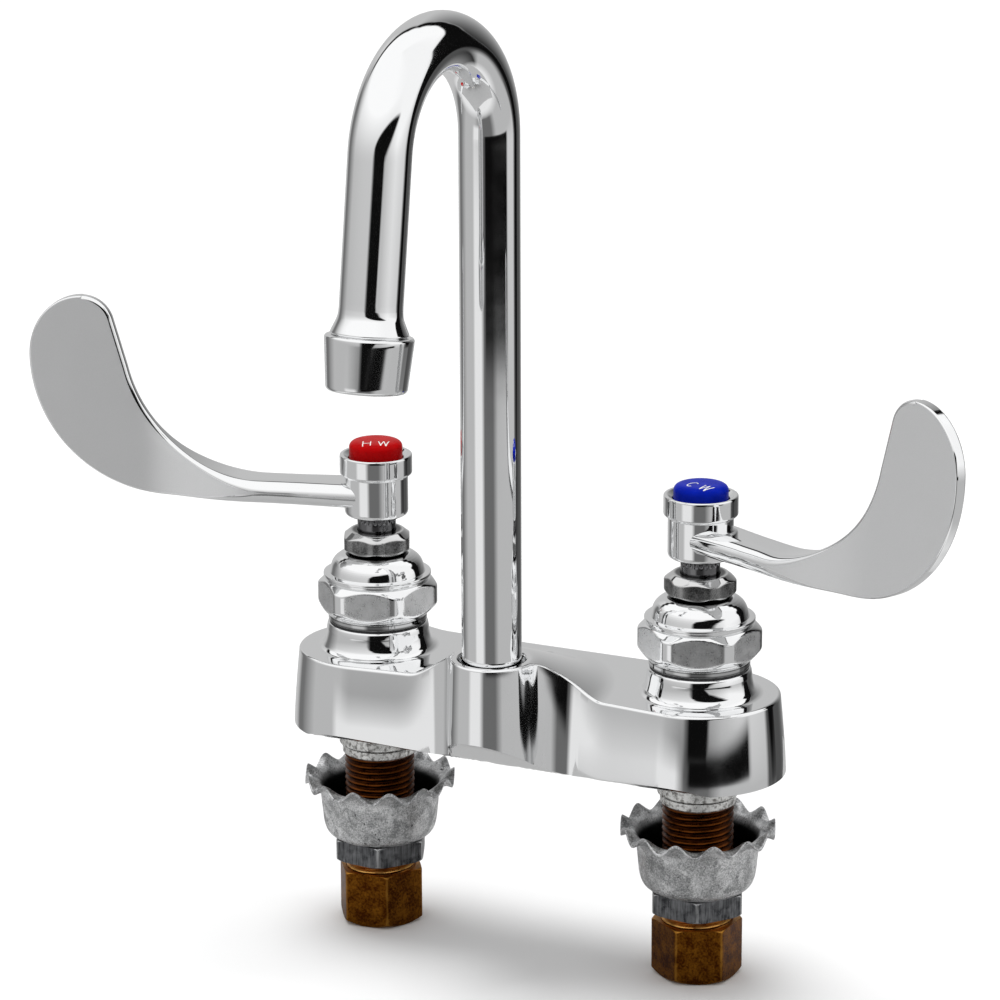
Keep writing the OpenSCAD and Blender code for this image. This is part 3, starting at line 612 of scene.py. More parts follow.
@dataclass(frozen=True)
class MilledSteel:
    """Bare steel with the streaks of its milling and darker blotches."""

    name: str = "milled_steel"
    dark: Colour = (0.05, 0.052, 0.056)
    light: Colour = (0.26, 0.265, 0.275)
    # Lighter tone on corners and chamfers: painted highlight along with wear.
    worn: Colour = (0.52, 0.525, 0.53)
    streak: tuple[float, float, float] = (1.0, 1.0, 0.08)

    def material(self) -> Material:
        """Blotches and streaks between two tones, with a lighter tone where corners and streaks meet:
        painted highlight along with wear.

        Returns:
            The material.
        """
        graph = Graph(self.name)
        blotch = graph.noise(3.0, 5.0, warp=0.6)
        streak = graph.noise(0.5, 4.0, self.streak)
        skin = graph.mix(graph.span(graph.sum(blotch, streak), 0.75, 1.25), self.dark, self.light)
        edges = graph.sum(1.0, graph.mark("flats"), "SUBTRACT")
        corner = graph.sum(edges, graph.sum(streak, 0.35), "MULTIPLY")
        tone = graph.mix(graph.span(corner, 0.45, 0.8), skin, self.worn)
        rough = graph.span(blotch, 0.3, 0.7, 0.24, 0.40)
        graph.dress(Base_Color=tone, Metallic=1.0, Roughness=rough)
        graph.dress(Normal=graph.bump(streak, 0.03))
        return graph.material


@dataclass(frozen=True)
class SpangledZinc:
    """Galvanised sheet: grey crystals, white bloom and dark pits."""

    name: str = "spangled_zinc"
    dark: Colour = (0.30, 0.305, 0.31)
    light: Colour = (0.97, 0.975, 0.98)
    pit: Colour = (0.05, 0.05, 0.052)
    # Near-black painted shade on the cup's inner wall round the shank.
    grime: Colour = (0.012, 0.012, 0.012)

    def material(self) -> Material:
        """Crystals between two tones, with pits, and painted shade where the inner wall is marked.

        Returns:
            The material.
        """
        graph = Graph(self.name)
        bloom = graph.noise(4.5, 6.0, warp=0.8)
        fine = graph.noise(0.45, 5.0)
        tone = graph.span(graph.sum(fine, bloom), 0.78, 1.22)
        pits = graph.span(graph.noise(1.1, 5.0, warp=0.4), 0.66, 0.72)
        skin = graph.mix(pits, graph.mix(tone, self.dark, self.light), self.pit)
        graph.dress(Base_Color=graph.mix(graph.mark("inside"), skin, self.grime), Metallic=0.9)
        graph.dress(Roughness=graph.span(fine, 0.3, 0.7, 0.28, 0.48))
        graph.dress(Normal=graph.bump(fine, 0.05, graph.bump(bloom, 0.12)))
        return graph.material


@dataclass(frozen=True)
class ThreadBrass:
    """Aged brass thread: gold crests over brown roots, in painted shade inside the cup and painted light
    where exposed, with a scuffed grey shoulder above.
    """

    name: str = "thread_brass"
    # Root and crest tones of the thread inside the cup, darkened as painted shade.
    root: Colour = (0.030, 0.007, 0.0015)
    crest: Colour = (0.14, 0.040, 0.007)
    worn_root: Colour = (0.30, 0.11, 0.02)
    worn_crest: Colour = (0.85, 0.46, 0.13)
    scuffed: Colour = (0.95, 0.95, 0.93)
    scratch: Colour = (0.26, 0.25, 0.24)

    def material(self) -> Material:
        """Mixes roots and crests by the thread's height, brighter where painted light is marked, and scuffs
        on the shoulder.

        Returns:
            The material.
        """
        graph = Graph(self.name)
        blotch = graph.noise(2.4, 5.0, warp=0.5)
        height = graph.span(graph.mark("crest"), 0.15, 0.95)
        crest = graph.sum(height, graph.span(blotch, 0.3, 0.75, -0.25, 0.25))
        worn = graph.mark("worn")
        root = graph.mix(worn, self.root, self.worn_root)
        metal = graph.mix(crest, root, graph.mix(worn, self.crest, self.worn_crest))
        scuff = graph.mix(graph.span(graph.noise(1.2, 5.0), 0.47, 0.66), self.scuffed, self.scratch)
        tone = graph.mix(graph.mark("shoulder"), metal, scuff)
        graph.dress(Base_Color=tone, Metallic=1.0, Roughness=graph.span(blotch, 0.3, 0.7, 0.22, 0.45))
        graph.dress(Normal=graph.bump(graph.noise(0.5, 4.0), 0.025))
        return graph.material


@dataclass(frozen=True)
class TarnishedBrass:
    """Unplated forged brass: brown and grey bloom on the flats, golden where it is rubbed."""

    name: str = "tarnished_brass"
    brown: Colour = (0.075, 0.017, 0.002)
    olive: Colour = (0.28, 0.105, 0.010)
    gold: Colour = (0.46, 0.21, 0.035)

    def material(self) -> Material:
        """Brown to olive blotches, golden where the flats end and the blotches are high.

        Returns:
            The material.
        """
        graph = Graph(self.name)
        blotch = graph.noise(4.0, 6.0)
        fine = graph.noise(0.6, 5.0)
        skin = graph.mix(graph.span(graph.sum(blotch, fine), 0.82, 1.22), self.brown, self.olive)
        rubbed = graph.span(graph.sum(graph.sum(1.0, graph.mark("flats"), "SUBTRACT"), blotch), 1.05, 1.6)
        graph.dress(Base_Color=graph.mix(rubbed, skin, self.gold), Metallic=1.0)
        graph.dress(Roughness=graph.span(fine, 0.3, 0.7, 0.26, 0.46))
        graph.dress(Normal=graph.bump(fine, 0.035))
        return graph.material


@dataclass(frozen=True)
class MouldedPlastic:
    """Glossy moulded plastic with a slight orange peel."""

    name: str
    colour: Colour
    shade: Colour
    roughness: float = 0.22
    gloss: float = 0.03

    def material(self) -> Material:
        """Two close shades by a cloudy noise, with a faint orange peel.

        Returns:
            The material.
        """
        graph = Graph(self.name)
        cloud = graph.noise(3.0, 3.0)
        graph.dress(Base_Color=graph.mix(graph.span(cloud, 0.3, 0.7), self.colour, self.shade))
        graph.dress(Roughness=graph.span(cloud, 0.3, 0.7, self.roughness - 0.04, self.roughness + 0.08))
        graph.dress(Specular_IOR_Level=self.gloss, Normal=graph.bump(graph.noise(0.7, 2.0), 0.006))
        return graph.material


@dataclass(frozen=True)
class MachinedMetal:
    """Freshly turned metal of the inner pieces, with rings from the tool."""

    name: str
    dark: Colour
    light: Colour
    pitch: float = 0.35

    def material(self) -> Material:
        """Two tones by the tool's rings and a stain.

        Returns:
            The material.
        """
        graph = Graph(self.name)
        rings = graph.noise(self.pitch, 2.0, (0.05, 0.05, 1.0))
        stain = graph.noise(4.0, 4.0)
        tone = graph.span(graph.sum(rings, stain), 0.75, 1.25)
        graph.dress(Base_Color=graph.mix(tone, self.dark, self.light), Metallic=1.0)
        graph.dress(Roughness=graph.span(stain, 0.3, 0.7, 0.2, 0.38), Normal=graph.bump(rings, 0.01))
        return graph.material


@dataclass(frozen=True)
class MouldedRubber:
    """Matt black rubber with a dusty bloom."""

    name: str = "moulded_rubber"
    dark: Colour = (0.012, 0.012, 0.013)
    light: Colour = (0.05, 0.05, 0.052)

    def material(self) -> Material:
        """Two greys by a dusty noise.

        Returns:
            The material.
        """
        graph = Graph(self.name)
        dust = graph.noise(1.8, 5.0)
        graph.dress(Base_Color=graph.mix(graph.span(dust, 0.4, 0.75), self.dark, self.light))
        graph.dress(Roughness=graph.span(dust, 0.3, 0.7, 0.55, 0.8))
        graph.dress(Normal=graph.bump(graph.noise(0.3), 0.015))
        return graph.material


@dataclass
class Finishes:
    """Every material of the faucet, built once."""

    polished: Material = field(default_factory=PolishedPlate().material)
    satin: Material = field(default_factory=SatinPlate().material)
    hexagon: Material = field(default_factory=GroundHexagon().material)
    # The gland nut's plate is a darkened copy of the hexagon's: dim corners and near-black flats are
    # painted dark reflection.
    gland: Material = field(
        default_factory=GroundHexagon("gland_hexagon", (0.70,) * 3, (0.26,) * 3, (0.08,) * 3).material
    )
    steel: Material = field(default_factory=MilledSteel().material)
    journal: Material = field(
        default_factory=PolishedPlate("stem_journal", (0.17, 0.17, 0.175), 0.10, 0.2).material
    )
    zinc: Material = field(default_factory=SpangledZinc().material)
    thread: Material = field(default_factory=ThreadBrass().material)
    tarnished: Material = field(default_factory=TarnishedBrass().material)
    rubber: Material = field(default_factory=MouldedRubber().material)
    brass: Material = field(
        default_factory=MachinedMetal("turned_brass", (0.52, 0.36, 0.16), (0.80, 0.60, 0.32)).material
    )
    turned_steel: Material = field(
        default_factory=MachinedMetal("turned_steel", (0.34, 0.35, 0.36), (0.62, 0.63, 0.64)).material
    )
    red: Material = field(
        default_factory=MouldedPlastic("red_plastic", (0.44, 0.002, 0.003), (0.36, 0.001, 0.002)).material
    )
    blue: Material = field(
        default_factory=MouldedPlastic("blue_plastic", (0.002, 0.014, 0.36), (0.001, 0.010, 0.29)).material
    )
    white: Material = field(
        default_factory=MouldedPlastic(
            "white_plastic", (0.86, 0.86, 0.84), (0.78, 0.78, 0.76), 0.35
        ).material
    )


# Pieces


def clean(mesh: bpy.types.Mesh) -> None:
    """Closes seams and poles, and turns the faces outwards.

    Args:
        mesh: The mesh, changed in place.
    """
    work = bmesh.new()
    work.from_mesh(mesh)
    bmesh.ops.remove_doubles(work, verts=work.verts, dist=2e-6)
    bmesh.ops.dissolve_degenerate(work, edges=work.edges, dist=1e-7)
    loose = [edge for edge in work.edges if not edge.link_faces]
    bmesh.ops.delete(work, geom=loose, context="EDGES")
    bmesh.ops.recalc_face_normals(work, faces=work.faces)
    work.to_mesh(mesh)
    work.free()


def shell_mesh(name: str, shells: list[Shell]) -> bpy.types.Mesh:
    """Makes one clean mesh of some surfaces, with their finish numbers and marks.

    Args:
        name: Name of the mesh.
        shells: Its surfaces, in millimetres.

    Returns:
        The mesh, in metres and without materials.
    """
    mesh = bpy.data.meshes.new(name)
    counts = [shell.points.shape[0] * shell.points.shape[1] for shell in shells]
    starts = np.concatenate([[0], np.cumsum(counts)])
    points = np.concatenate([shell.points.reshape(-1, 3) for shell in shells]) * MM
    quads = np.concatenate([shell.quads() + start for shell, start in zip(shells, starts)])
    mesh.from_pydata(points, [], quads.tolist())
    slots = np.concatenate([shell.slots() for shell in shells])
    mesh.polygons.foreach_set("material_index", slots.astype(np.int32))
    for mark in sorted({key for shell in shells for key in shell.marks}):
        values = [shell.marks.get(mark, np.zeros(shell.points.shape[:2])) for shell in shells]
        flat = np.concatenate([value.reshape(-1) for value in values])
        layer = mesh.attributes.new(mark, "FLOAT", "POINT")
        layer.data.foreach_set("value", flat.astype(np.float32))
    clean(mesh)
    return mesh


def put_piece(
    name: str,
    shape: list[Shell] | bpy.types.Mesh,
    materials: list[Material],
    body: str,
    nodes: tuple[str, ...],
    sharp: float = TURNED_SHARP,
) -> bpy.types.Object:
    """Makes one object of some surfaces or of a mesh, shades it and hangs it on the frame.

    Args:
        name: Name of the piece.
        shape: Its surfaces, in millimetres, or its mesh.
        materials: The materials that the shape's finish numbers point to.
        body: CAD body that it moves with.
        nodes: CAD nodes that it stands for.
        sharp: Angle in degrees beyond which an edge is shaded sharp.

    Returns:
        The object.
    """
    mesh = shape if isinstance(shape, bpy.types.Mesh) else shell_mesh(name, shape)
    mesh.polygons.foreach_set("use_smooth", np.ones(len(mesh.polygons), bool))
    mesh.set_sharp_from_angle(angle=radians(sharp))
    for material in materials:
        mesh.materials.append(material)
    piece = bpy.data.objects.new(name, mesh)
    bpy.context.scene.collection.objects.link(piece)
    weight = piece.modifiers.new("even_normals", "WEIGHTED_NORMAL")
    weight.keep_sharp = True
    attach(piece, body)
    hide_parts(*nodes)
    LOG.info("%s: %d faces", name, len(mesh.polygons))
    return piece


def loose_object(name: str, shells: list[Shell]) -> bpy.types.Object:
    """Makes an object for construction, which isn't hung on the frame.

    Args:
        name: Name of the object.
        shells: Its closed surfaces, in millimetres.

    Returns:
        The object.
    """
    item = bpy.data.objects.new(name, shell_mesh(name, shells))
    bpy.context.scene.collection.objects.link(item)
    return item


def cut(blank: bpy.types.Object, cutter: bpy.types.Object) -> None:
    """Takes the cutter's volume out of the blank and deletes the cutter.

    Args:
        blank: The object that is cut, changed in place.
        cutter: The object that is taken away.
    """
    step = blank.modifiers.new("cut", "BOOLEAN")
    step.object = cutter
    step.operation = "DIFFERENCE"
    step.solver = "EXACT"
    graph = bpy.context.evaluated_depsgraph_get()
    result = bpy.data.meshes.new_from_object(blank.evaluated_get(graph))
    blank.modifiers.clear()
    old = blank.data
    blank.data = result
    bpy.data.meshes.remove(old)
    bpy.data.objects.remove(cutter)


def joined(name: str, blank: bpy.types.Object, shells: list[Shell]) -> bpy.types.Mesh:
    """Joins surfaces to a finished blank, and deletes the blank.

    Args:
        name: Name of the new mesh.
        blank: The object whose mesh comes first.
        shells: Closed surfaces to add, in millimetres.

    Returns:
        The mesh of both.
    """
    extra = shell_mesh("extra", shells)
    work = bmesh.new()
    work.from_mesh(blank.data)
    work.from_mesh(extra)
    mesh = bpy.data.meshes.new(name)
    work.to_mesh(mesh)
    work.free()
    bpy.data.meshes.remove(extra)
    bpy.data.objects.remove(blank)
    return mesh


# Sub-assemblies


@dataclass
class DeckBody:
    """The cast body: two round ends, a waist, a forward nose and two valve towers.

    The plan is a chain of arcs, each touching the next. The nose's top is level and falls to the
    body's top along a softened ramp, measured outwards from the spout's axis.
    """

    finishes: Finishes
    valve_x: float = VALVE_X
    end_r: float = 24.7
    waist: float = 22.0
    back_hollow_r: float = 20.0
    front_hollow_r: float = 10.0
    front_lean: float = radians(6.0)
    body_h: float = 22.8
    nose_y: float = -28.6
    nose_r: float = 12.6
    nose_h: float = 34.0
    nose_lift: float = 12.0
    lift_start: float = -21.5
    draft: float = 1.7
    nose_draft: float = 0.9
    bulge: float = 1.3
    edge_r: float = 0.9
    nose_edge_r: float = 0.7
    lift_slope: float = 0.609
    ramp_side: float = 31.0
    ramp_back: float = 47.0
    ramp_top_r: float = 11.0
    ramp_soft: float = 0.012
    ramp_ends: tuple[float, float] = (0.05, 0.88)
    tower_top: float = 30.4
    waist_r: float = 15.6
    fillet_r: float = 2.6
    fillet_end: float = 19.0
    flare_r: float = 14.1
    flare_turns: tuple[float, float] = (17.0, 2.0)
    tower_foot: float = 21.0
    bore_r: float = 12.0
    valve_bore: tuple[tuple[float, float], ...] = (
        (-2, 0), (-2, 11.75), (1, 11.75), (1, 9.05), (6.5, 9.05), (6.5, 6.0), (7.5, 6.5), (12, 6.5),
        (12, 10.2), (20, 10.2), (20, 12), (36, 12), (36, 0),
    )
    socket: tuple[Triple, ...] = (
        (13.5, 0, 0), (13.5, 9.5, 0), (30.3, 9.5, 0), (30.3, 10.1, 0), (31.6, 10.1, 0), (31.6, 9.5, 0),
        (33.6, 9.5, 0.2), (34.5, 10.4, 0), (36, 10.4, 0), (36, 0, 0),
    )
    waterway_r: float = 3.5
    waterway_z: float = 16.1
    across_x: tuple[float, float] = (-50.0, 50.0)
    forward_y: tuple[float, float] = (-1.0, 28.0)

    def front(self, x: Array) -> Array:
        """Front edge of the plan, by distance from the middle.

        The nose's circle, a hollow arc, a straight line and the lobe's circle follow each other, each
        touching the next. The line touches the lobe where the lobe's normal leans by front_lean.

        Args:
            x: Places across the body.

        Returns:
            The edge's y at each place.
        """
        x = np.abs(x)
        lean, near = self.front_lean, self.nose_r + self.front_hollow_r
        lobe_x = self.valve_x - self.end_r * np.sin(lean)
        lobe_y = -self.end_r * np.cos(lean)
        along, away = np.array([-np.cos(lean), np.sin(lean)]), np.array([-np.sin(lean), -np.cos(lean)])
        from_nose = np.array([lobe_x, lobe_y - self.nose_y]) + self.front_hollow_r * away
        middle = from_nose @ along
        run = -middle - np.sqrt(middle**2 - from_nose @ from_nose + near**2)
        cx, cy = from_nose + run * along + np.array([0.0, self.nose_y])
        nose_end = self.nose_r * cx / near
        line_start = cx - self.front_hollow_r * away[0]
        nose = self.nose_y - np.sqrt(np.maximum(self.nose_r**2 - x**2, 0.0))
        hollow = cy + np.sqrt(np.maximum(self.front_hollow_r**2 - (x - cx) ** 2, 0.0))
        line = lobe_y + (lobe_x - x) * np.tan(lean)
        lobe = -np.sqrt(np.maximum(self.end_r**2 - (x - self.valve_x) ** 2, 0.0))
        inner = np.where(x < nose_end, nose, np.where(x < line_start, hollow, line))
        return np.where(x < lobe_x, inner, lobe)

    def back(self, x: Array) -> Array:
        """Back edge of the plan: a straight line, a hollow arc and the lobe's circle, touching in turn.

        Args:
            x: Places across the body.

        Returns:
            The edge's y at each place.
        """
        x = np.abs(x)
        rise = self.waist + self.back_hollow_r
        reach = self.back_hollow_r + self.end_r
        cx = self.valve_x - np.sqrt(reach**2 - rise**2)
        lobe_start = self.valve_x + (cx - self.valve_x) * self.end_r / reach
        hollow = rise - np.sqrt(np.maximum(self.back_hollow_r**2 - (x - cx) ** 2, 0.0))
        lobe = np.sqrt(np.maximum(self.end_r**2 - (x - self.valve_x) ** 2, 0.0))
        return np.where(x < cx, self.waist, np.where(x < lobe_start, hollow, lobe))

    def height(self, x: Array, y: Array) -> Array:
        """Top surface: the body's height plus the nose's rise, less a soft ramp of the distance.

        The ramp ends on an ellipse round the spout's axis. It is the difference of two softened ramps,
        taken as a share of its value at the end.

        Args:
            x: Places across the body.
            y: Places along it.

        Returns:
            Height at each place.
        """
        dx, dy = x, y - self.nose_y
        distance = np.maximum(np.hypot(dx, dy), 1e-6)
        reach = 1.0 / np.hypot(dx / distance / self.ramp_side, dy / distance / self.ramp_back)
        t = np.clip((distance - self.ramp_top_r) / (reach - self.ramp_top_r), 0.0, 1.0)
        start, end = self.ramp_ends
        none = self.soft(-start) - self.soft(-end)
        fall = self.soft(t - start) - self.soft(t - end) - none
        full = self.soft(1.0 - start) - self.soft(1.0 - end) - none
        return self.body_h + (self.nose_h - self.body_h) * (1.0 - fall / full)

    def foot(self, y: Array) -> Array:
        """Height of the underside: it rises below the nose."""
        return np.clip((self.lift_start - y) * self.lift_slope, 0.0, self.nose_lift)

    def soft(self, t: Array | float) -> Array | float:
        """Softened ramp, (t + sqrt(t^2 + e)) / 2."""
        return (t + np.sqrt(t * t + self.ramp_soft)) / 2

    def wall(self, x: Array, y: Array, facing: float, steps: int = 14) -> Array:
        """Wall columns from the foot up and over the rounded top edge.

        The wall leans in by the draft times (z / height) to the power of the bulge, and the edge is
        a quarter circle up to the top surface.

        Args:
            x: Places across the body.
            y: The plan's edge at each of them.
            facing: -1 for the front wall, 1 for the back wall.
            steps: Points up the wall, below the edge.

        Returns:
            Points (n, k, 3).
        """
        line = np.stack([x, y], axis=-1)
        tangent = np.gradient(line, axis=0)
        normal = np.stack([tangent[:, 1], -tangent[:, 0]], axis=-1)
        normal *= np.where(normal[:, 1:] * facing < 0, -1.0, 1.0)
        normal /= np.linalg.norm(normal, axis=1, keepdims=True)
        normal[[0, -1]] = [[-1.0, 0.0], [1.0, 0.0]]
        lobe = np.where(y > 0, 1.0, smooth(np.abs(x), 10.0, 34.0))[:, None]
        draft = self.nose_draft + (self.draft - self.nose_draft) * lobe
        edge = self.nose_edge_r + (self.edge_r - self.nose_edge_r) * lobe
        inner = line - normal * (draft + edge)
        top = self.height(inner[:, 0], inner[:, 1])[:, None] - edge
        foot = self.foot(y)[:, None]
        t = np.linspace(0.0, 1.0, steps)[None, :]
        rise = foot + (top - foot) * t
        angle = np.linspace(0.0, pi / 2, 8)[None, 1:]
        z = np.hstack([rise, top + edge * np.sin(angle)])
        inset = np.hstack([draft * (rise / top) ** self.bulge, draft + edge * (1.0 - np.cos(angle))])
        flat = line[:, None, :] - normal[:, None, :] * inset[..., None]
        return np.concatenate([flat, z[..., None]], axis=-1)

    def casting(self) -> Shell:
        """The body as one grid of closed sections across X, each: front wall, top, back wall, underside.

        Returns:
            The blank, without its bores.
        """
        middle = 26.0
        lobe = self.valve_x + self.end_r * np.sin(np.linspace(0.0, pi / 2, 36)[1:])
        nose = self.nose_r * np.sin(np.linspace(0.0, 1.35, 34))
        hollow = np.linspace(nose[-1], middle, 60)[1:]
        half = np.concatenate([nose, hollow, np.linspace(middle, self.valve_x, 40)[1:], lobe])
        x = np.concatenate([-half[:0:-1], half])
        front, back = self.wall(x, self.front(x), -1.0), self.wall(x, self.back(x), 1.0)
        t = np.linspace(0.0, 1.0, 72)[None, 1:-1, None]
        top = front[:, -1:] + (back[:, -1:] - front[:, -1:]) * t
        top[..., 2] = self.height(top[..., 0], top[..., 1])
        t = np.linspace(0.0, 1.0, 40)[None, 1:-1, None]
        under = back[:, :1] + (front[:, :1] - back[:, :1]) * t
        under[..., 2] = self.foot(under[..., 1])
        return Shell(np.concatenate([front, top, back[:, ::-1], under], axis=1), (False, True))

    def tower(self, side: Side) -> Shell:
        """A valve tower: a small fillet, a long gentle flare and a neck, round its threaded bore.

        Fillet and flare are arcs whose slope runs from level to 19 degrees, then on to 2 degrees: at
        the slope a, a point of an arc lies at its radius times sin a and cos a.

        Args:
            side: The valve.

        Returns:
            The tower, reaching a little into the body.
        """
        r, fillet_r, flare_r = self.waist_r, self.fillet_r, self.flare_r
        turns = np.radians(np.linspace(90.0, self.fillet_end, 7))
        up, out = np.sin(turns[-1]), np.cos(turns[-1])
        fillet = [
            (self.body_h + fillet_r * (1 - np.sin(a)), r + fillet_r * (out - np.cos(a)), 0.0) for a in turns
        ]
        z = fillet[-1][0]
        turns = np.radians(np.linspace(*self.flare_turns, 8))
        flare = [(z + flare_r * (up - np.sin(a)), r - flare_r * (np.cos(a) - out), 0.0) for a in turns]
        foot = self.tower_foot
        corners = [(foot, self.bore_r, 0.0), (foot, fillet[0][1], 0.0), *fillet, *flare]
        corners += [(29.9, 14.6, 0.2), (self.tower_top, 14.3, 0.25), (self.tower_top, self.bore_r, 0.2)]
        return turned(refined(rounded(corners), 1.0), Upright(side.value * self.valve_x, 0.0), 144)

    def cutters(self) -> list[list[Shell]]:
        """Closed solids to take out: valve bores with the spout's socket, then the two waterways.

        Returns:
            The surfaces of each cut.
        """
        bore = rounded([(*corner, 0.0) for corner in self.valve_bore], 1, False)
        bores = [turned(bore, Upright(s.value * self.valve_x, 0.0), 96, closed=False) for s in Side]
        socket = rounded(list(self.socket), 2, False)
        bores.append(turned(socket, Upright(0.0, self.nose_y), 128, closed=False))
        across = self.waterway(self.across_x, 0.0)
        forward = self.waterway(self.forward_y, -pi / 2)
        return [bores, [across], [forward]]

    def waterway(self, ends: tuple[float, float], heading: float) -> Shell:
        """A level round bore through the middle of the body.

        Args:
            ends: Where it starts and ends, from the middle.
            heading: Its direction.

        Returns:
            The bore as a closed solid.
        """
        low, high = ends
        corners = [(low, 0, 0), (low, self.waterway_r, 0), (high, self.waterway_r, 0), (high, 0, 0)]
        axis = Level(0.0, 0.0, self.waterway_z, heading)
        return turned(rounded(corners, 1, False), axis, 32, closed=False)

    def build(self) -> None:
        """Cuts the bores out of the casting and sets the towers on it."""
        casting = loose_object("casting_blank", [self.casting()])
        for number, shells in enumerate(self.cutters()):
            cut(casting, loose_object(f"cutter_{number}", shells))
        name, looks = "deck_body_cast", [self.finishes.polished]
        mesh = joined(name, casting, [self.tower(side) for side in Side])
        put_piece(name, mesh, looks, "base", ("deck_body",), CAST_SHARP)


@dataclass
class Spout:
    """The bent tube with its swaged end, and the aerator's housing on it."""

    finishes: Finishes
    neck: Neck = field(default_factory=Neck)
    tube_r: float = 8.4
    bore_r: float = 7.0
    foot: float = 26.7
    swage_at: float = 41.5
    swage_end: float = 46.9
    swage_r: float = 10.4
    thread_end: float = 52.2
    thread_r: float = 9.8
    housing_top_r: float = 11.8
    housing_out_r: float = 10.75
    housing_h: float = 14.6
    ledge_at: float = 54.6
    insert_r: float = 8.95

    def tube(self) -> Shell:
        """The tube's closed wall with its swaged and threaded end, carried along the neck.

        Returns:
            The tube.
        """
        leg = self.neck.leg_start()
        at, end = leg + self.swage_at, leg + self.swage_end
        corners = [(self.foot, self.bore_r, 0.0), (self.foot, self.tube_r, 0.2), (at, self.tube_r, 2.5)]
        corners += [(at + 1.9, self.tube_r + 0.7, 1.2), (at + 4.0, self.swage_r - 0.35, 1.0)]
        corners += [(end - 0.6, self.swage_r, 0.3), (end - 0.1, self.swage_r - 0.35, 0.2)]
        corners += [(end - 0.1, self.thread_r, 0.0), (leg + self.thread_end, self.thread_r, 0.3)]
        corners += [(leg + self.thread_end, self.bore_r, 0.2)]
        return turned(refined(rounded(corners), 1.6), self.neck, 112)

    def housing(self) -> Shell:
        """The tapered housing with a rolled top edge and an open outlet.

        Returns:
            The housing.
        """
        top = self.neck.leg_start() + self.swage_end
        ledge = self.neck.leg_start() + self.ledge_at
        end = top + self.housing_h
        corners = [(top, self.thread_r + 0.05, 0.1), (top, self.housing_top_r - 0.5, 0.3)]
        corners += [(top + 0.5, self.housing_top_r, 0.3), (top + 1.6, self.housing_top_r - 0.03, 0.3)]
        corners += [(end - 0.7, self.housing_out_r, 0.5), (end, self.housing_out_r - 0.6, 0.35)]
        corners += [(end, self.insert_r + 0.4, 0.3), (end - 0.5, self.insert_r, 0.3)]
        corners += [(ledge, self.insert_r, 0.1), (ledge, self.thread_r + 0.05, 0.1)]
        return turned(refined(rounded(corners), 0.8), self.neck, 128)

    def build(self) -> None:
        """Puts both pieces on the turning spout."""
        chrome = [self.finishes.polished]
        put_piece("gooseneck_bent", [self.tube()], chrome, "spout", ("gooseneck_tube",))
        put_piece("aerator_shell", [self.housing()], chrome, "spout", ("aerator_housing",))


@dataclass
class ValvePart:
    """What the sub-assemblies of one valve have in common: finishes, side and axis."""

    finishes: Finishes
    side: Side
    valve_x: float = VALVE_X

    def axis(self) -> Upright:
        """The valve's axis."""
        return Upright(self.side.value * self.valve_x, 0.0)


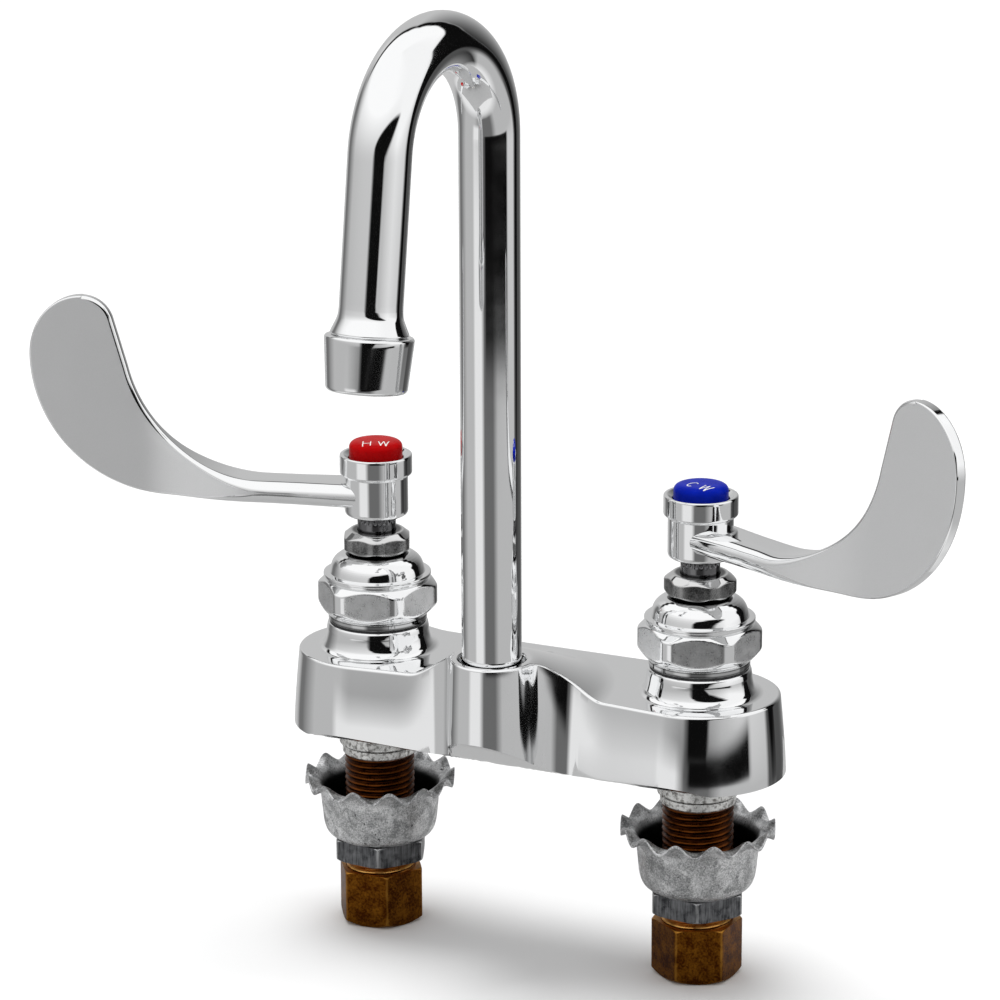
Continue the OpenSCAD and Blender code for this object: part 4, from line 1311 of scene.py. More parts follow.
@dataclass
class Cartridge(ValvePart):
    """What stands on a tower: bonnet, packing nut and stem."""

    bonnet_af: float = 31.6
    bonnet_corner: float = 17.5
    bonnet_turn: tuple[float, float] = (17.0, 21.0)
    bonnet_sharpness: float = 120.0
    bonnet_top: float = 43.4
    skirt_z: float = 32.7
    skirt_ring: float = 1.35
    dome_z: float = 45.35
    dome_h: float = 5.65
    dome_r: float = 13.8
    packing_af: float = 18.8
    packing_corner: float = 10.2
    packing_turn: tuple[float, float] = (56.0, 15.0)
    stem_r: float = 5.55
    splines: int = 24
    spline_depth: float = 0.5
    spline_z: tuple[float, float] = (60.6, 72.4)
    rest: tuple[float, float] = (195.0, -26.6)
    drive: Thread = Thread(low=20.6, high=33.0, least_radius=3.6, pitch=2.4, depth=0.7)

    def bonnet(self) -> Shell:
        """Thread, skirt, hexagon, groove, thin lip and dome, round the gland and the piston's bore.

        The dome's radius at u, the share of its height, is 13.8 - 1.15 u - 3.1 u^4.

        Returns:
            The bonnet.
        """
        corner, skirt, top = self.bonnet_corner, self.skirt_z, self.bonnet_top
        corners = [(20.1, 8.26, 0.1), (20.1, 11.95, 0.3), (31.0, 11.95, 0.0), (31.0, 14.3, 0.35)]
        corners += [(skirt, 14.3, 0.2), (32.75, 14.3, 0.1), (36.1, corner, 0.6), (41.5, corner, 0.5)]
        corners += [(top, corner - 2.2, 0.3), (top, 14.8, 0.15), (44.2, 14.8, 0.15), (44.35, 15.6, 0.2)]
        corners += [(45.2, 15.6, 0.25), (45.3, 14.0, 0.1)]
        for u in np.linspace(0.0, 1.0, 12)[:-1]:
            corners += [(self.dome_z + self.dome_h * u, self.dome_r - 1.15 * u - 3.1 * u**4, 0.15)]
        corners += [(51.0, 9.55, 0.25), (51.0, 7.55, 0.1), (42.8, 7.55, 0.1), (42.8, 5.61, 0.1)]
        corners += [(36.65, 5.61, 0.1), (36.65, 8.26, 0.1)]
        turn = self.side.pick(*self.bonnet_turn)
        hexagon = Hexagon(self.bonnet_af, turn, skirt, top, self.bonnet_sharpness)
        profile = refined(rounded(corners), 0.45)

        def grime(theta: Array, along: Array, radius: Array) -> Array:
            """Painted shade: dark rings on the skirt in the gap below the hexagon, with a paler one between
            them.
            """
            ring = 0.55 + 0.35 * np.cos(tau * (along - self.skirt_z) / self.skirt_ring)
            return ring * (along < self.skirt_z) * smooth(radius, 12.5, 13.5) + 0.0 * theta

        marks = {"flats": hexagon.flats, "grime": grime}
        return turned(profile, self.axis(), 240, (hexagon.form,), marks)

    def packing_nut(self) -> Shell:
        """The gland's hexagon with deep chamfers and a threaded stub below.

        Returns:
            The packing nut.
        """
        corner = self.packing_corner
        corners = [(46.6, 5.63, 0.1), (46.6, 7.5, 0.2), (51.0, 7.5, 0.0), (51.05, corner - 1.7, 0.2)]
        corners += [(52.7, corner, 0.3), (55.9, corner, 0.3), (57.8, corner - 2.4, 0.3), (57.8, 5.63, 0.25)]
        hexagon = Hexagon(self.packing_af, self.side.pick(*self.packing_turn), 51.0, 57.8)
        profile = refined(rounded(corners), 0.35)

        def grime(theta: Array, along: Array, radius: Array) -> Array:
            """Painted shade: 1 in the gap above the bonnet, and round the stem on the top face as painted
            dark reflection.
            """
            gap = 1.0 - smooth(along, 51.6, 52.6)
            return np.maximum(gap, (along > 57.7) * (1.0 - smooth(radius, 6.6, 7.6))) + 0.0 * theta

        def sides(theta: Array, along: Array, radius: Array) -> Array:
            """1 on the flats and most of the way on the corners between them, where the gland's painted
            dark reflection goes.
            """
            upright = 0.8 * smooth(along, 52.2, 52.9) * (1.0 - smooth(along, 55.6, 56.3))
            return np.maximum(hexagon.flats(theta, along, radius), upright)

        return turned(profile, self.axis(), 216, (hexagon.form,), {"flats": sides, "grime": grime})

    def spline(self, theta: Array, along: Array, radius: Array) -> tuple[Array, Array]:
        """Square-topped splines: a steepened cosine of the spline count times theta.

        Args:
            theta: Angles (n, 1).
            along: Heights of the profile.
            radius: Radii of the profile.

        Returns:
            Heights and radii.
        """
        phase = np.cos(self.splines * (theta - radians(self.side.pick(*self.rest))))
        groove = 0.5 - 0.5 * np.tanh(3.0 * phase)
        low, high = self.spline_z
        inside = smooth(along, low - 0.3, low + 0.1) * (1.0 - smooth(along, high + 0.1, high + 0.2))
        return along, np.where(radius > 3.0, radius - self.spline_depth * groove * inside, radius)

    def stem(self) -> Shell:
        """Drive screw, thrust collar, journal and splined end with its screw hole.

        Returns:
            The stem.
        """
        top, r = 72.4, self.stem_r
        corners = [(20.55, 0, 0), (20.55, 4.0, 0.3), (21.2, 4.4, 0.2), (33.15, 4.4, 0.1), (33.15, 8.0, 0.3)]
        corners += [(36.55, 8.0, 0.3), (36.55, r, 0.1), (71.8, r, 0.2), (top, 5.0, 0.2), (top, 2.15, 0.1)]
        corners += [(65.1, 2.15, 0.1), (65.1, 0, 0)]
        profile = refined(rounded(corners, 4, False), 0.4, False)
        around = self.splines * 10
        return turned(profile, self.axis(), around, (self.drive.form, self.spline), closed=False)

    def build(self) -> None:
        """Puts the three pieces on their bodies."""
        node, looks = self.side.node, self.finishes
        bonnet, nut, stem = self.bonnet(), self.packing_nut(), self.stem()
        put_piece(node("bonnet_turned"), [bonnet], [looks.hexagon], "base", (node("bonnet"),))
        put_piece(node("gland_nut"), [nut], [looks.gland], "base", (node("packing_nut"),))
        body = node("lever")
        put_piece(node("stem_turned"), [stem], [looks.journal], body, (node("stem"),))


@dataclass
class WristHandle(ValvePart):
    """A wrist-blade lever: hub with collar, arm and blade, and its index button.

    The side outline is two curves, lower and upper, from the hub to the tip. s is the distance from
    the stem's axis and z the height above the hub's foot. Its thickness depends on s alone. A bevel
    is four numbers: its depth and width on the arm, then on the blade.
    """

    hub_z: float = 63.4
    hub_r: float = 9.2
    hub_h: float = 11.0
    hub_foot: float = 62.35
    collar_r: float = 10.45
    collar_h: float = 6.0
    mouth_r: float = 9.4
    rest: tuple[float, float] = (196.6, -25.9)
    reach: float = 101.5
    rise: float = 60.9
    heel_r: float = 40.2
    throat_r: float = 40.2
    throat_start: float = 33.5
    throat_lean: float = 12.9
    tip_run: float = 16.0
    tip_r: float = 9.2
    arm_lift: float = 2.65
    arm_foot: float = 1.9
    arm_top: float = 8.9
    arm_half: float = 7.3
    blade_half: float = 1.7
    taper_end: float = 68.0
    root: float = 8.3
    root_half: float = 8.2
    narrow_end: float = 24.0
    bevel_fade: tuple[float, float] = (30.0, 54.0)
    lower_bevel: tuple[float, float, float, float] = (3.3, 2.7, 0.5, 0.6)
    upper_bevel: tuple[float, float, float, float] = (3.2, 4.6, 1.1, 1.2)
    button_r: float = 7.7
    button_foot: float = 78.4
    button_top: float = 84.1
    shoulder_z: float = 82.1
    button_lift: tuple[float, float] = (0.3, -0.6)
    letter_h: float = 3.8
    letter_w: float = 2.2
    second_w: float = 3.0
    letter_gap: float = 2.4
    letter_line: float = 0.14
    letter_lift: float = 0.05
    letter_sink: float = 0.15
    letter_side: tuple[float, float] = (0.0, 1.6)
    letter_from: tuple[float, float] = (3.9, 2.7)
    letter_turn: tuple[float, float] = (25.1, -17.4)

    @staticmethod
    def arc(cx: float, cz: float, rx: float, rz: float, start: float, end: float, count: int) -> Array:
        """Points of an elliptical arc, centre + (rx cos, rz sin) of the angles from start to end."""
        angle = np.radians(np.linspace(start, end, count))
        return np.stack([cx + rx * np.cos(angle), cz + rz * np.sin(angle)], axis=-1)

    def outline(self, count: int) -> tuple[Array, Array]:
        """Lower and upper curve of the side outline, from the root to the tip.

        The lower one is a straight line, the heel's quarter circle and the brow's quarter ellipse. The
        upper one is a straight line, the throat's arc and the tip's rounded corner.

        Args:
            count: Points of each curve.

        Returns:
            Both curves as points (s, z), evenly spread.
        """
        crest_s = self.reach - self.tip_run
        heel_z = self.arm_lift + self.heel_r
        top_z = self.rise - heel_z
        heel = self.arc(self.reach - self.heel_r, heel_z, self.heel_r, self.heel_r, 270, 360, 60)
        brow = self.arc(crest_s, heel_z, self.tip_run, top_z, 3, 90, 40)
        lower = np.vstack([[[self.root, self.arm_foot]], heel, brow])
        lean = self.throat_lean
        corner = self.arc(crest_s, self.rise - self.tip_r, self.tip_r, self.tip_r, 93, 180 - lean, 24)
        throat_z = self.arm_top + self.throat_r
        throat = self.arc(self.throat_start, throat_z, self.throat_r, self.throat_r, -lean, -90, 60)
        upper = np.vstack([[[crest_s, self.rise]], corner, throat, [[self.root, self.arm_top]]])[::-1]
        return spread(lower, count), spread(upper, count)

    def half_thickness(self, s: Array) -> Array:
        """Half the hub's width, narrowing to the arm's, then to the blade's along a cosine.

        Args:
            s: Distances from the stem's axis.

        Returns:
            Half the thickness at each.
        """
        t = np.clip((s - self.throat_start) / (self.taper_end - self.throat_start), 0.0, 1.0)
        arm = self.root_half + (self.arm_half - self.root_half) * smooth(s, 4.0, self.narrow_end)
        return self.blade_half + (arm - self.blade_half) * (1.0 + np.cos(pi * t)) / 2

    def rim(
        self, line: Array, inward: Array, bevel: tuple[float, float, float, float], steps: int = 10
    ) -> Array:
        """Edge columns (n, k, 3) from the front face round to the back face.

        Front and back are quarter ellipses that start flush with the face and end flush with the
        edge's flat middle: depth b (1 - sin), thickness h - c (1 - cos).

        Args:
            line: The outline's points (s, z).
            inward: Unit normals into the piece.
            bevel: Depth and width on the arm, then on the blade.
            steps: Points of each quarter.

        Returns:
            Points as (s, z, thickness).
        """
        half = self.half_thickness(line[:, 0])
        on_blade = smooth(line[:, 0], *self.bevel_fade)
        depth = bevel[0] + (bevel[2] - bevel[0]) * on_blade
        width = bevel[1] + (bevel[3] - bevel[1]) * on_blade
        width = np.minimum(width, half * 0.9)
        angle = np.linspace(0.0, pi / 2, steps)[None, :]
        deep = depth[:, None] * (1.0 - np.sin(angle))
        wide = half[:, None] - width[:, None] * (1.0 - np.cos(angle))
        deep = np.hstack([deep, deep[:, ::-1]])
        wide = np.hstack([wide, -wide[:, ::-1]])
        flat = line[:, None, :] + inward[:, None, :] * deep[..., None]
        return np.concatenate([flat, wide[..., None]], axis=-1)

    @staticmethod
    def inward(line: Array, sign: float) -> Array:
        """Unit normals to one side of a line.

        Args:
            line: Points (n, 2).
            sign: 1 for the left of the line's direction, -1 for its right.

        Returns:
            Normals (n, 2).
        """
        tangent = np.gradient(line, axis=0)
        normal = np.stack([-tangent[:, 1], tangent[:, 0]], axis=-1) * sign
        return normal / np.linalg.norm(normal, axis=1, keepdims=True)

    def lever(self) -> Shell:
        """Arm and blade as one grid of closed sections: lower edge, back face, upper edge, front face.

        The first sections are bent round the hub, by its circle's distance from its tangent.

        Returns:
            The lever, with polished edges and satin faces.
        """
        low, high = self.outline(150)
        low_in, high_in = self.inward(low, 1.0), self.inward(high, -1.0)
        low_in[-1] = high_in[-1] = [0.0, -1.0]
        below = self.rim(low, low_in, self.lower_bevel)
        above = self.rim(high, high_in, self.upper_bevel)[:, ::-1]
        t = np.linspace(0.0, 1.0, 14)[None, 1:-1, None]
        back = below[:, -1:] + (above[:, :1] - below[:, -1:]) * t
        back[..., 2] = -self.half_thickness(back[..., 0])
        face = above[:, -1:] + (below[:, :1] - above[:, -1:]) * t
        face[..., 2] = self.half_thickness(face[..., 0])
        grid = np.concatenate([below, back, above, face], axis=1)
        pull = np.sqrt(np.maximum(self.root**2 - grid[..., 2] ** 2, 0.0)) - self.root
        grid[..., 0] += pull * (1.0 - smooth(grid[..., 0], self.root, self.throat_start * 0.6))
        root = np.broadcast_to(grid[:1].mean(axis=1, keepdims=True), grid[:1].shape)
        grid = np.concatenate([root, grid])
        edge, face_count = below.shape[1], back.shape[1]
        finish = np.zeros(grid.shape[1], int)
        finish[edge - 1 : edge + face_count] = 1
        finish[2 * edge + face_count - 1 :] = 1
        return Shell(self.placed(grid), (False, True), finish=finish)

    def placed(self, grid: Array) -> Array:
        """Turns points about the valve's axis by the rest angle.

        Args:
            grid: Points as (s, z, thickness).

        Returns:
            Points in the frame.
        """
        angle = radians(self.side.pick(*self.rest))
        s, z, w = grid[..., 0], grid[..., 1], grid[..., 2]
        x = self.side.value * self.valve_x + s * np.cos(angle) - w * np.sin(angle)
        y = s * np.sin(angle) + w * np.cos(angle)
        return np.stack([x, y, self.hub_z + z], axis=-1)

    def hub(self) -> Shell:
        """Hub and collar, with the stem's bore, the screw's hole and the button's recess.

        Returns:
            The hub.
        """
        z, collar = self.hub_foot, self.hub_z + self.hub_h
        top = collar + self.collar_h
        corners = [(z, 5.6, 0.2), (z, self.hub_r, 1.5), (collar - 0.2, self.hub_r, 0.4)]
        corners += [(collar + 0.3, self.collar_r, 0.5), (top, self.collar_r, 0.6)]
        corners += [(top, self.mouth_r, 0.25), (top - 1.3, 7.95, 0.3), (75.1, 7.75, 0.2)]
        corners += [(75.1, 2.2, 0.1), (72.5, 2.2, 0.1), (72.5, 5.6, 0.1)]
        return turned(refined(rounded(corners, 6), 0.8), self.axis(), 144)

    def crown(self, radius: Array) -> Array:
        """Height of the button's top: a superellipse, h (1 - (r/R)^7)^(1/2) above its shoulder.

        Args:
            radius: Distances from the valve's axis.

        Returns:
            Height at each.
        """
        share = np.clip(radius / self.button_r, 0.0, 1.0)
        foot = self.shoulder_z + self.side.pick(*self.button_lift)
        return foot + (self.button_top - self.shoulder_z) * np.sqrt(1.0 - share**7.0)

    def button(self) -> Shell:
        """The domed button, hollow below.

        Returns:
            The button, without its letters.
        """
        foot, wall = self.button_foot, self.button_r
        radius = wall * np.sin(np.linspace(pi / 2, 0.0, 60))
        top = np.stack([self.crown(radius), radius], axis=-1)
        ceiling, inner = foot + 2.0, 6.5
        corners = [(ceiling, 0, 0), (ceiling, inner, 0.2), (foot, inner, 0.2), (foot, wall, 0.3)]
        below = rounded(corners, 4, False)
        return turned(np.vstack([below, top]), self.axis(), 96, closed=False)

    def build(self) -> None:
        """Puts lever and button on their body."""
        node, looks = self.side.node, self.finishes
        body, metal = node("lever"), [looks.polished, looks.satin]
        shells = [self.hub(), self.lever()]
        put_piece(node("wrist_handle"), shells, metal, body, (node("handle"),))
        plastic = looks.red if self.side is Side.HOT else looks.blue
        shells = [self.button(), *self.letters()]
        put_piece(node("button_dome"), shells, [plastic, looks.white], body, (node("index_button"),))

    def letters(self) -> list[Shell]:
        """Printed letters, as thin raised strokes: H W on the hot side, C W on the cold side.

        Returns:
            A ribbon for each stroke.
        """
        w, h, wide = self.letter_w / 2, self.letter_h / 2, self.second_w / 2
        shift = np.array([self.letter_gap, 0.0])
        if self.side is Side.HOT:
            bars = [[(-w, -h), (-w, h)], [(w, -h), (w, h)], [(-w, 0.0), (w, 0.0)]]
            first = [spread(np.array(bar) - shift, 9) for bar in bars]
        else:
            angle = np.radians(np.linspace(48.0, 312.0, 33))
            first = [np.stack([w * np.cos(angle), h * np.sin(angle)], axis=-1) - shift]
        zigzag = np.array([(-wide, h), (-wide / 2, -h), (0.0, h), (wide / 2, -h), (wide, h)]) + shift
        second = [spread(zigzag[place : place + 2], 9) for place in range(len(zigzag) - 1)]
        return [self.stroke(line) for line in first + second]

    def stroke(self, line: Array) -> Shell:
        """A ribbon along a line on the crown, a little proud of it, with closed sides and ends.

        Args:
            line: Points (right, up) in the letter's plane, as the reader sees it.

        Returns:
            The ribbon.
        """
        across = self.inward(line, 1.0) * self.letter_line
        edge = np.stack([line - across, line + across, line + across, line - across], axis=1)
        turn = radians(self.side.pick(*self.letter_turn))
        u = edge[..., 0] + self.side.pick(*self.letter_side)
        v = edge[..., 1] - self.side.pick(*self.letter_from)
        x = u * np.cos(turn) - v * np.sin(turn)
        y = u * np.sin(turn) + v * np.cos(turn)
        lift = np.array([self.letter_lift, self.letter_lift, -self.letter_sink, -self.letter_sink])
        z = self.crown(np.hypot(x, y)) + lift
        grid = np.stack([x + self.side.value * self.valve_x, y, z], axis=-1)
        ends = [np.broadcast_to(end.mean(axis=0), end.shape)[None] for end in (grid[0], grid[-1])]
        return Shell(np.concatenate([ends[0], grid, ends[1]]), (False, True), finish=1)


@dataclass
class Mounting(ValvePart):
    """What hangs below the deck on one side: shank, cup washer, locknut and coupling nut."""

    bore_r: float = 6.0
    thread_r: float = 10.2
    shank_foot: float = -55.9
    shoulder: float = -9.6
    locknut_af: float = 25.4
    locknut_z: tuple[float, float] = (-41.9, -35.6)
    locknut_turn: tuple[float, float] = (54.0, 53.0)
    coupling_af: float = 22.8
    coupling_z: tuple[float, float] = (-61.5, -45.1)
    coupling_turn: tuple[float, float] = (5.0, 26.0)
    rim_r: float = 22.0
    wall_r: float = 17.6
    sheet_middle: tuple[tuple[float, float], ...] = (
        (-35.2, 0.0), (-35.0, 12.0), (-34.0, 14.6), (-31.0, 16.0), (-24.0, 16.7), (-21.0, 17.1),
        (-18.0, 19.5),
    )
    waves: int = 13
    wave_h: float = 1.5
    nut_hole_r: float = 10.25

    def shank(self) -> Shell:
        """Spigot, two shoulders and the threaded tail.

        Returns:
            The shank.
        """
        foot, shoulder_z, top = self.shank_foot, self.shoulder, 6.4
        thread = Thread(foot, shoulder_z, least_radius=8.0)
        corners = [(foot, self.bore_r, 0.3), (foot, self.thread_r - 0.6, 0.3)]
        corners += [(foot + 0.8, self.thread_r, 0.3), (shoulder_z, self.thread_r, 0.0)]
        corners += [(shoulder_z, 10.8, 0.3), (-7.2, 10.8, 0.3), (-6.8, 11.7, 0.5), (1.0, 11.7, 0.2)]
        corners += [(1.0, 9.0, 0.1), (top, 9.0, 0.3), (top, self.bore_r, 0.3)]

        def crest(theta: Array, along: Array, radius: Array) -> Array:
            """The thread's height, for the finish."""
            return np.where(along < shoulder_z, thread.ridge(theta, along, radius), 0.6)

        def shoulder(theta: Array, along: Array, radius: Array) -> Array:
            """1 on the scuffed shoulders."""
            return smooth(along, shoulder_z - 0.4, shoulder_z + 0.1) + 0.0 * theta

        def worn(theta: Array, along: Array, radius: Array) -> Array:
            """Painted light: 1 on the exposed end below the locknut, lighter than the thread in the cup's
            painted shade.
            """
            return 1.0 - smooth(along, self.locknut_z[0] - 1.0, self.locknut_z[0] + 0.5) + 0.0 * theta

        marks = {"crest": crest, "shoulder": shoulder, "worn": worn}
        return turned(refined(rounded(corners), 0.22), self.axis(), 96, (thread.form,), marks)

    def cup(self) -> Shell:
        """Pressed cup: flat foot, rounded corner, leaning wall and a wavy flared rim.

        Returns:
            The cup washer.
        """
        outer = [(-35.6, 10.5, 0.2), (-35.6, 13.4, 1.6), (-33.9, 15.7, 1.5), (-31.2, 16.6, 1.4)]
        outer += [(-24.0, 17.3, 1.0), (-21.2, 17.7, 0.9), (-19.8, 18.6, 0.8), (-18.5, 20.2, 0.8)]
        outer += [(-18.3, self.rim_r, 0.35)]
        inner = [(-17.3, self.rim_r, 0.35), (-17.6, 19.8, 0.8), (-18.9, 17.6, 0.8), (-21.3, 16.5, 0.9)]
        inner += [(-24.2, 16.1, 1.0), (-31.0, 15.4, 1.4), (-33.0, 14.6, 1.0), (-34.4, 12.9, 1.0)]
        inner += [(-34.4, 10.5, 0.2)]

        def inside(theta: Array, along: Array, radius: Array) -> Array:
            """1 on the inner wall below the rim, which gets painted shade."""
            middle = np.interp(along, *np.transpose(self.sheet_middle))
            return (radius < middle) * (1.0 - smooth(along, -21.5, -18.0)) + 0.0 * theta

        profile = refined(rounded(outer + inner), 0.5)
        return turned(profile, self.axis(), 208, (self.wave,), {"inside": inside})

    def wave(self, theta: Array, along: Array, radius: Array) -> tuple[Array, Array]:
        """Raises and lowers the rim by a cosine of 13 theta that grows with the distance from the wall."""
        grow = np.where(along > -22.0, smooth(radius, self.wall_r - 0.6, self.rim_r + 1.5) * 1.35, 0.0)
        return along + self.wave_h * grow * np.cos(self.waves * theta), radius + 0.0 * theta

    @staticmethod
    def nut(
        across: float, span: tuple[float, float], turn: float, foot: float, top: float
    ) -> tuple[Hexagon, Corners]:
        """Hexagon and outer corners of a nut with turned ends.

        The hexagon's corners lie at its width over the root of 3.

        Args:
            across: Width across its flats.
            span: Its lowest and highest height.
            turn: Angle of one of its corners, in degrees.
            foot: How far its lower end is turned down.
            top: How far its upper end is turned down.

        Returns:
            The hexagon and the profile's outer corners, from the lower end up.
        """
        corner = across / np.sqrt(3.0)
        low, high = span
        slope = 0.62
        corners = [(low, corner - foot, 0.3), (low + slope * foot, corner, 0.4)]
        corners += [(high - slope * top, corner, 0.3), (high, corner - top, 0.2)]
        return Hexagon(across, turn, low, high), corners

    def locknut(self) -> Shell:
        """Thin hexagon nut with a threaded hole.

        Returns:
            The locknut.
        """
        low, high = self.locknut_z
        turn = self.side.pick(*self.locknut_turn)
        hexagon, corners = self.nut(self.locknut_af, self.locknut_z, turn, 0.9, 0.6)
        corners += [(high, self.nut_hole_r, 0.3), (low, self.nut_hole_r, 0.3)]
        profile = refined(rounded(corners), 0.3)
        return turned(profile, self.axis(), 216, (hexagon.form,), {"flats": hexagon.flats})

    def coupling(self) -> Shell:
        """Long hexagon nut with a rounded foot and a ledge for the riser's washer.

        Returns:
            The coupling nut.
        """
        ledge, riser_r = -58.9, 6.6
        low, high = self.coupling_z
        turn = self.side.pick(*self.coupling_turn)
        hexagon, corners = self.nut(self.coupling_af, self.coupling_z, turn, 2.2, 0.8)
        corners += [(high, self.nut_hole_r, 0.3), (ledge, self.nut_hole_r, 0.1)]
        corners += [(ledge, riser_r, 0.2), (low, riser_r, 0.3)]
        profile = refined(rounded(corners), 0.4)
        return turned(profile, self.axis(), 216, (hexagon.form,), {"flats": hexagon.flats})

    def build(self) -> None:
        """Puts the four pieces on the body's frame."""
        node, looks = self.side.node, self.finishes
        put_piece(node("shank_threaded"), [self.shank()], [looks.thread], "base", (node("shank"),))
        put_piece(node("cup_pressed"), [self.cup()], [looks.zinc], "base", (node("cup_washer"),))
        locknut, coupling = self.locknut(), self.coupling()
        put_piece(node("locknut_milled"), [locknut], [looks.steel], "base", (node("locknut"),))
        metal, nodes = [looks.tarnished], (node("coupling_nut"),)
        put_piece(node("coupling_forged"), [coupling], metal, "base", nodes)


@dataclass
class InnerPieces:
    """The CAD nodes that are right as they are and only get a finish."""

    finishes: Finishes

    def build(self) -> None:
        """Assigns a material to each node that is kept."""
        looks = self.finishes
        shared = {
            "swivel_sleeve": looks.brass, "spout_orings": looks.rubber,
            "spout_snap_ring": looks.turned_steel, "aerator_washer": looks.rubber,
            "aerator_insert": looks.white, "aerator_screen": looks.turned_steel,
        }
        pair = {
            "handle_screw": looks.turned_steel, "packing_ring": looks.rubber, "packing_washer": looks.brass,
            "bonnet_washer": looks.rubber, "plunger": looks.brass, "seat_washer": looks.rubber,
            "seat_screw": looks.brass, "valve_seat": looks.brass, "riser_washer": looks.rubber,
        }
        both = {side.node(name): look for side in Side for name, look in pair.items()}
        for name, look in {**shared, **both}.items():
            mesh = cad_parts[name].data
            mesh.materials.clear()
            mesh.materials.append(look)
            LOG.info("%s: finish %s", name, look.name)


# Studio


@dataclass(frozen=True)
class Screen:
    """Something that the metal mirrors: a grey with soft edges.

    Attributes:
        grey: Its tone.
        along: Elevations at which it starts and is full and, where it ends again, at which it is
            last full and is over.
        across: The same for its angles; empty for all round.
        full_turn: Whether its angles are counted from 0 to 360 degrees, and not from -180 to 180.
    """

    grey: float
    along: tuple[float, ...]
    across: tuple[float, ...] = ()
    full_turn: bool = False


@dataclass(frozen=True)
class Opening:
    """The dark opening round the camera, and the dark strip below it.

    Attributes:
        across: Angles at which it starts, is full, is last full and is over.
        middle: Angle of its arch's middle.
        half: Half the arch's width.
        height: The arch's height above level.
        arch_edge: Where its edge is over and where it is full, as shares of the arch.
        foot: Elevation of its level foot.
        slow: Angle and rise per degree of the first line that its foot follows, and the line's offset.
        steep: The same for the second line.
        foot_edge: How far from its foot it starts and is full.
        strip: Elevations at which the strip starts, is full, is last full and is over.
        strip_across: The same for the strip's angles.
    """

    across: tuple[float, ...] = (-27.0, -16.0, 66.0, 74.0)
    middle: float = 24.0
    half: float = 47.0
    height: float = 22.0
    arch_edge: tuple[float, float] = (1.12, 0.92)
    foot: float = -13.0
    slow: tuple[float, float, float] = (14.0, 0.33, 1.5)
    steep: tuple[float, float, float] = (9.0, 1.1, 10.0)
    foot_edge: tuple[float, float] = (-1.5, 3.0)
    strip: tuple[float, ...] = (-14.4, -13.6, -10.6, -9.2)
    strip_across: tuple[float, ...] = (-24.0, -14.0, 66.0, 74.0)


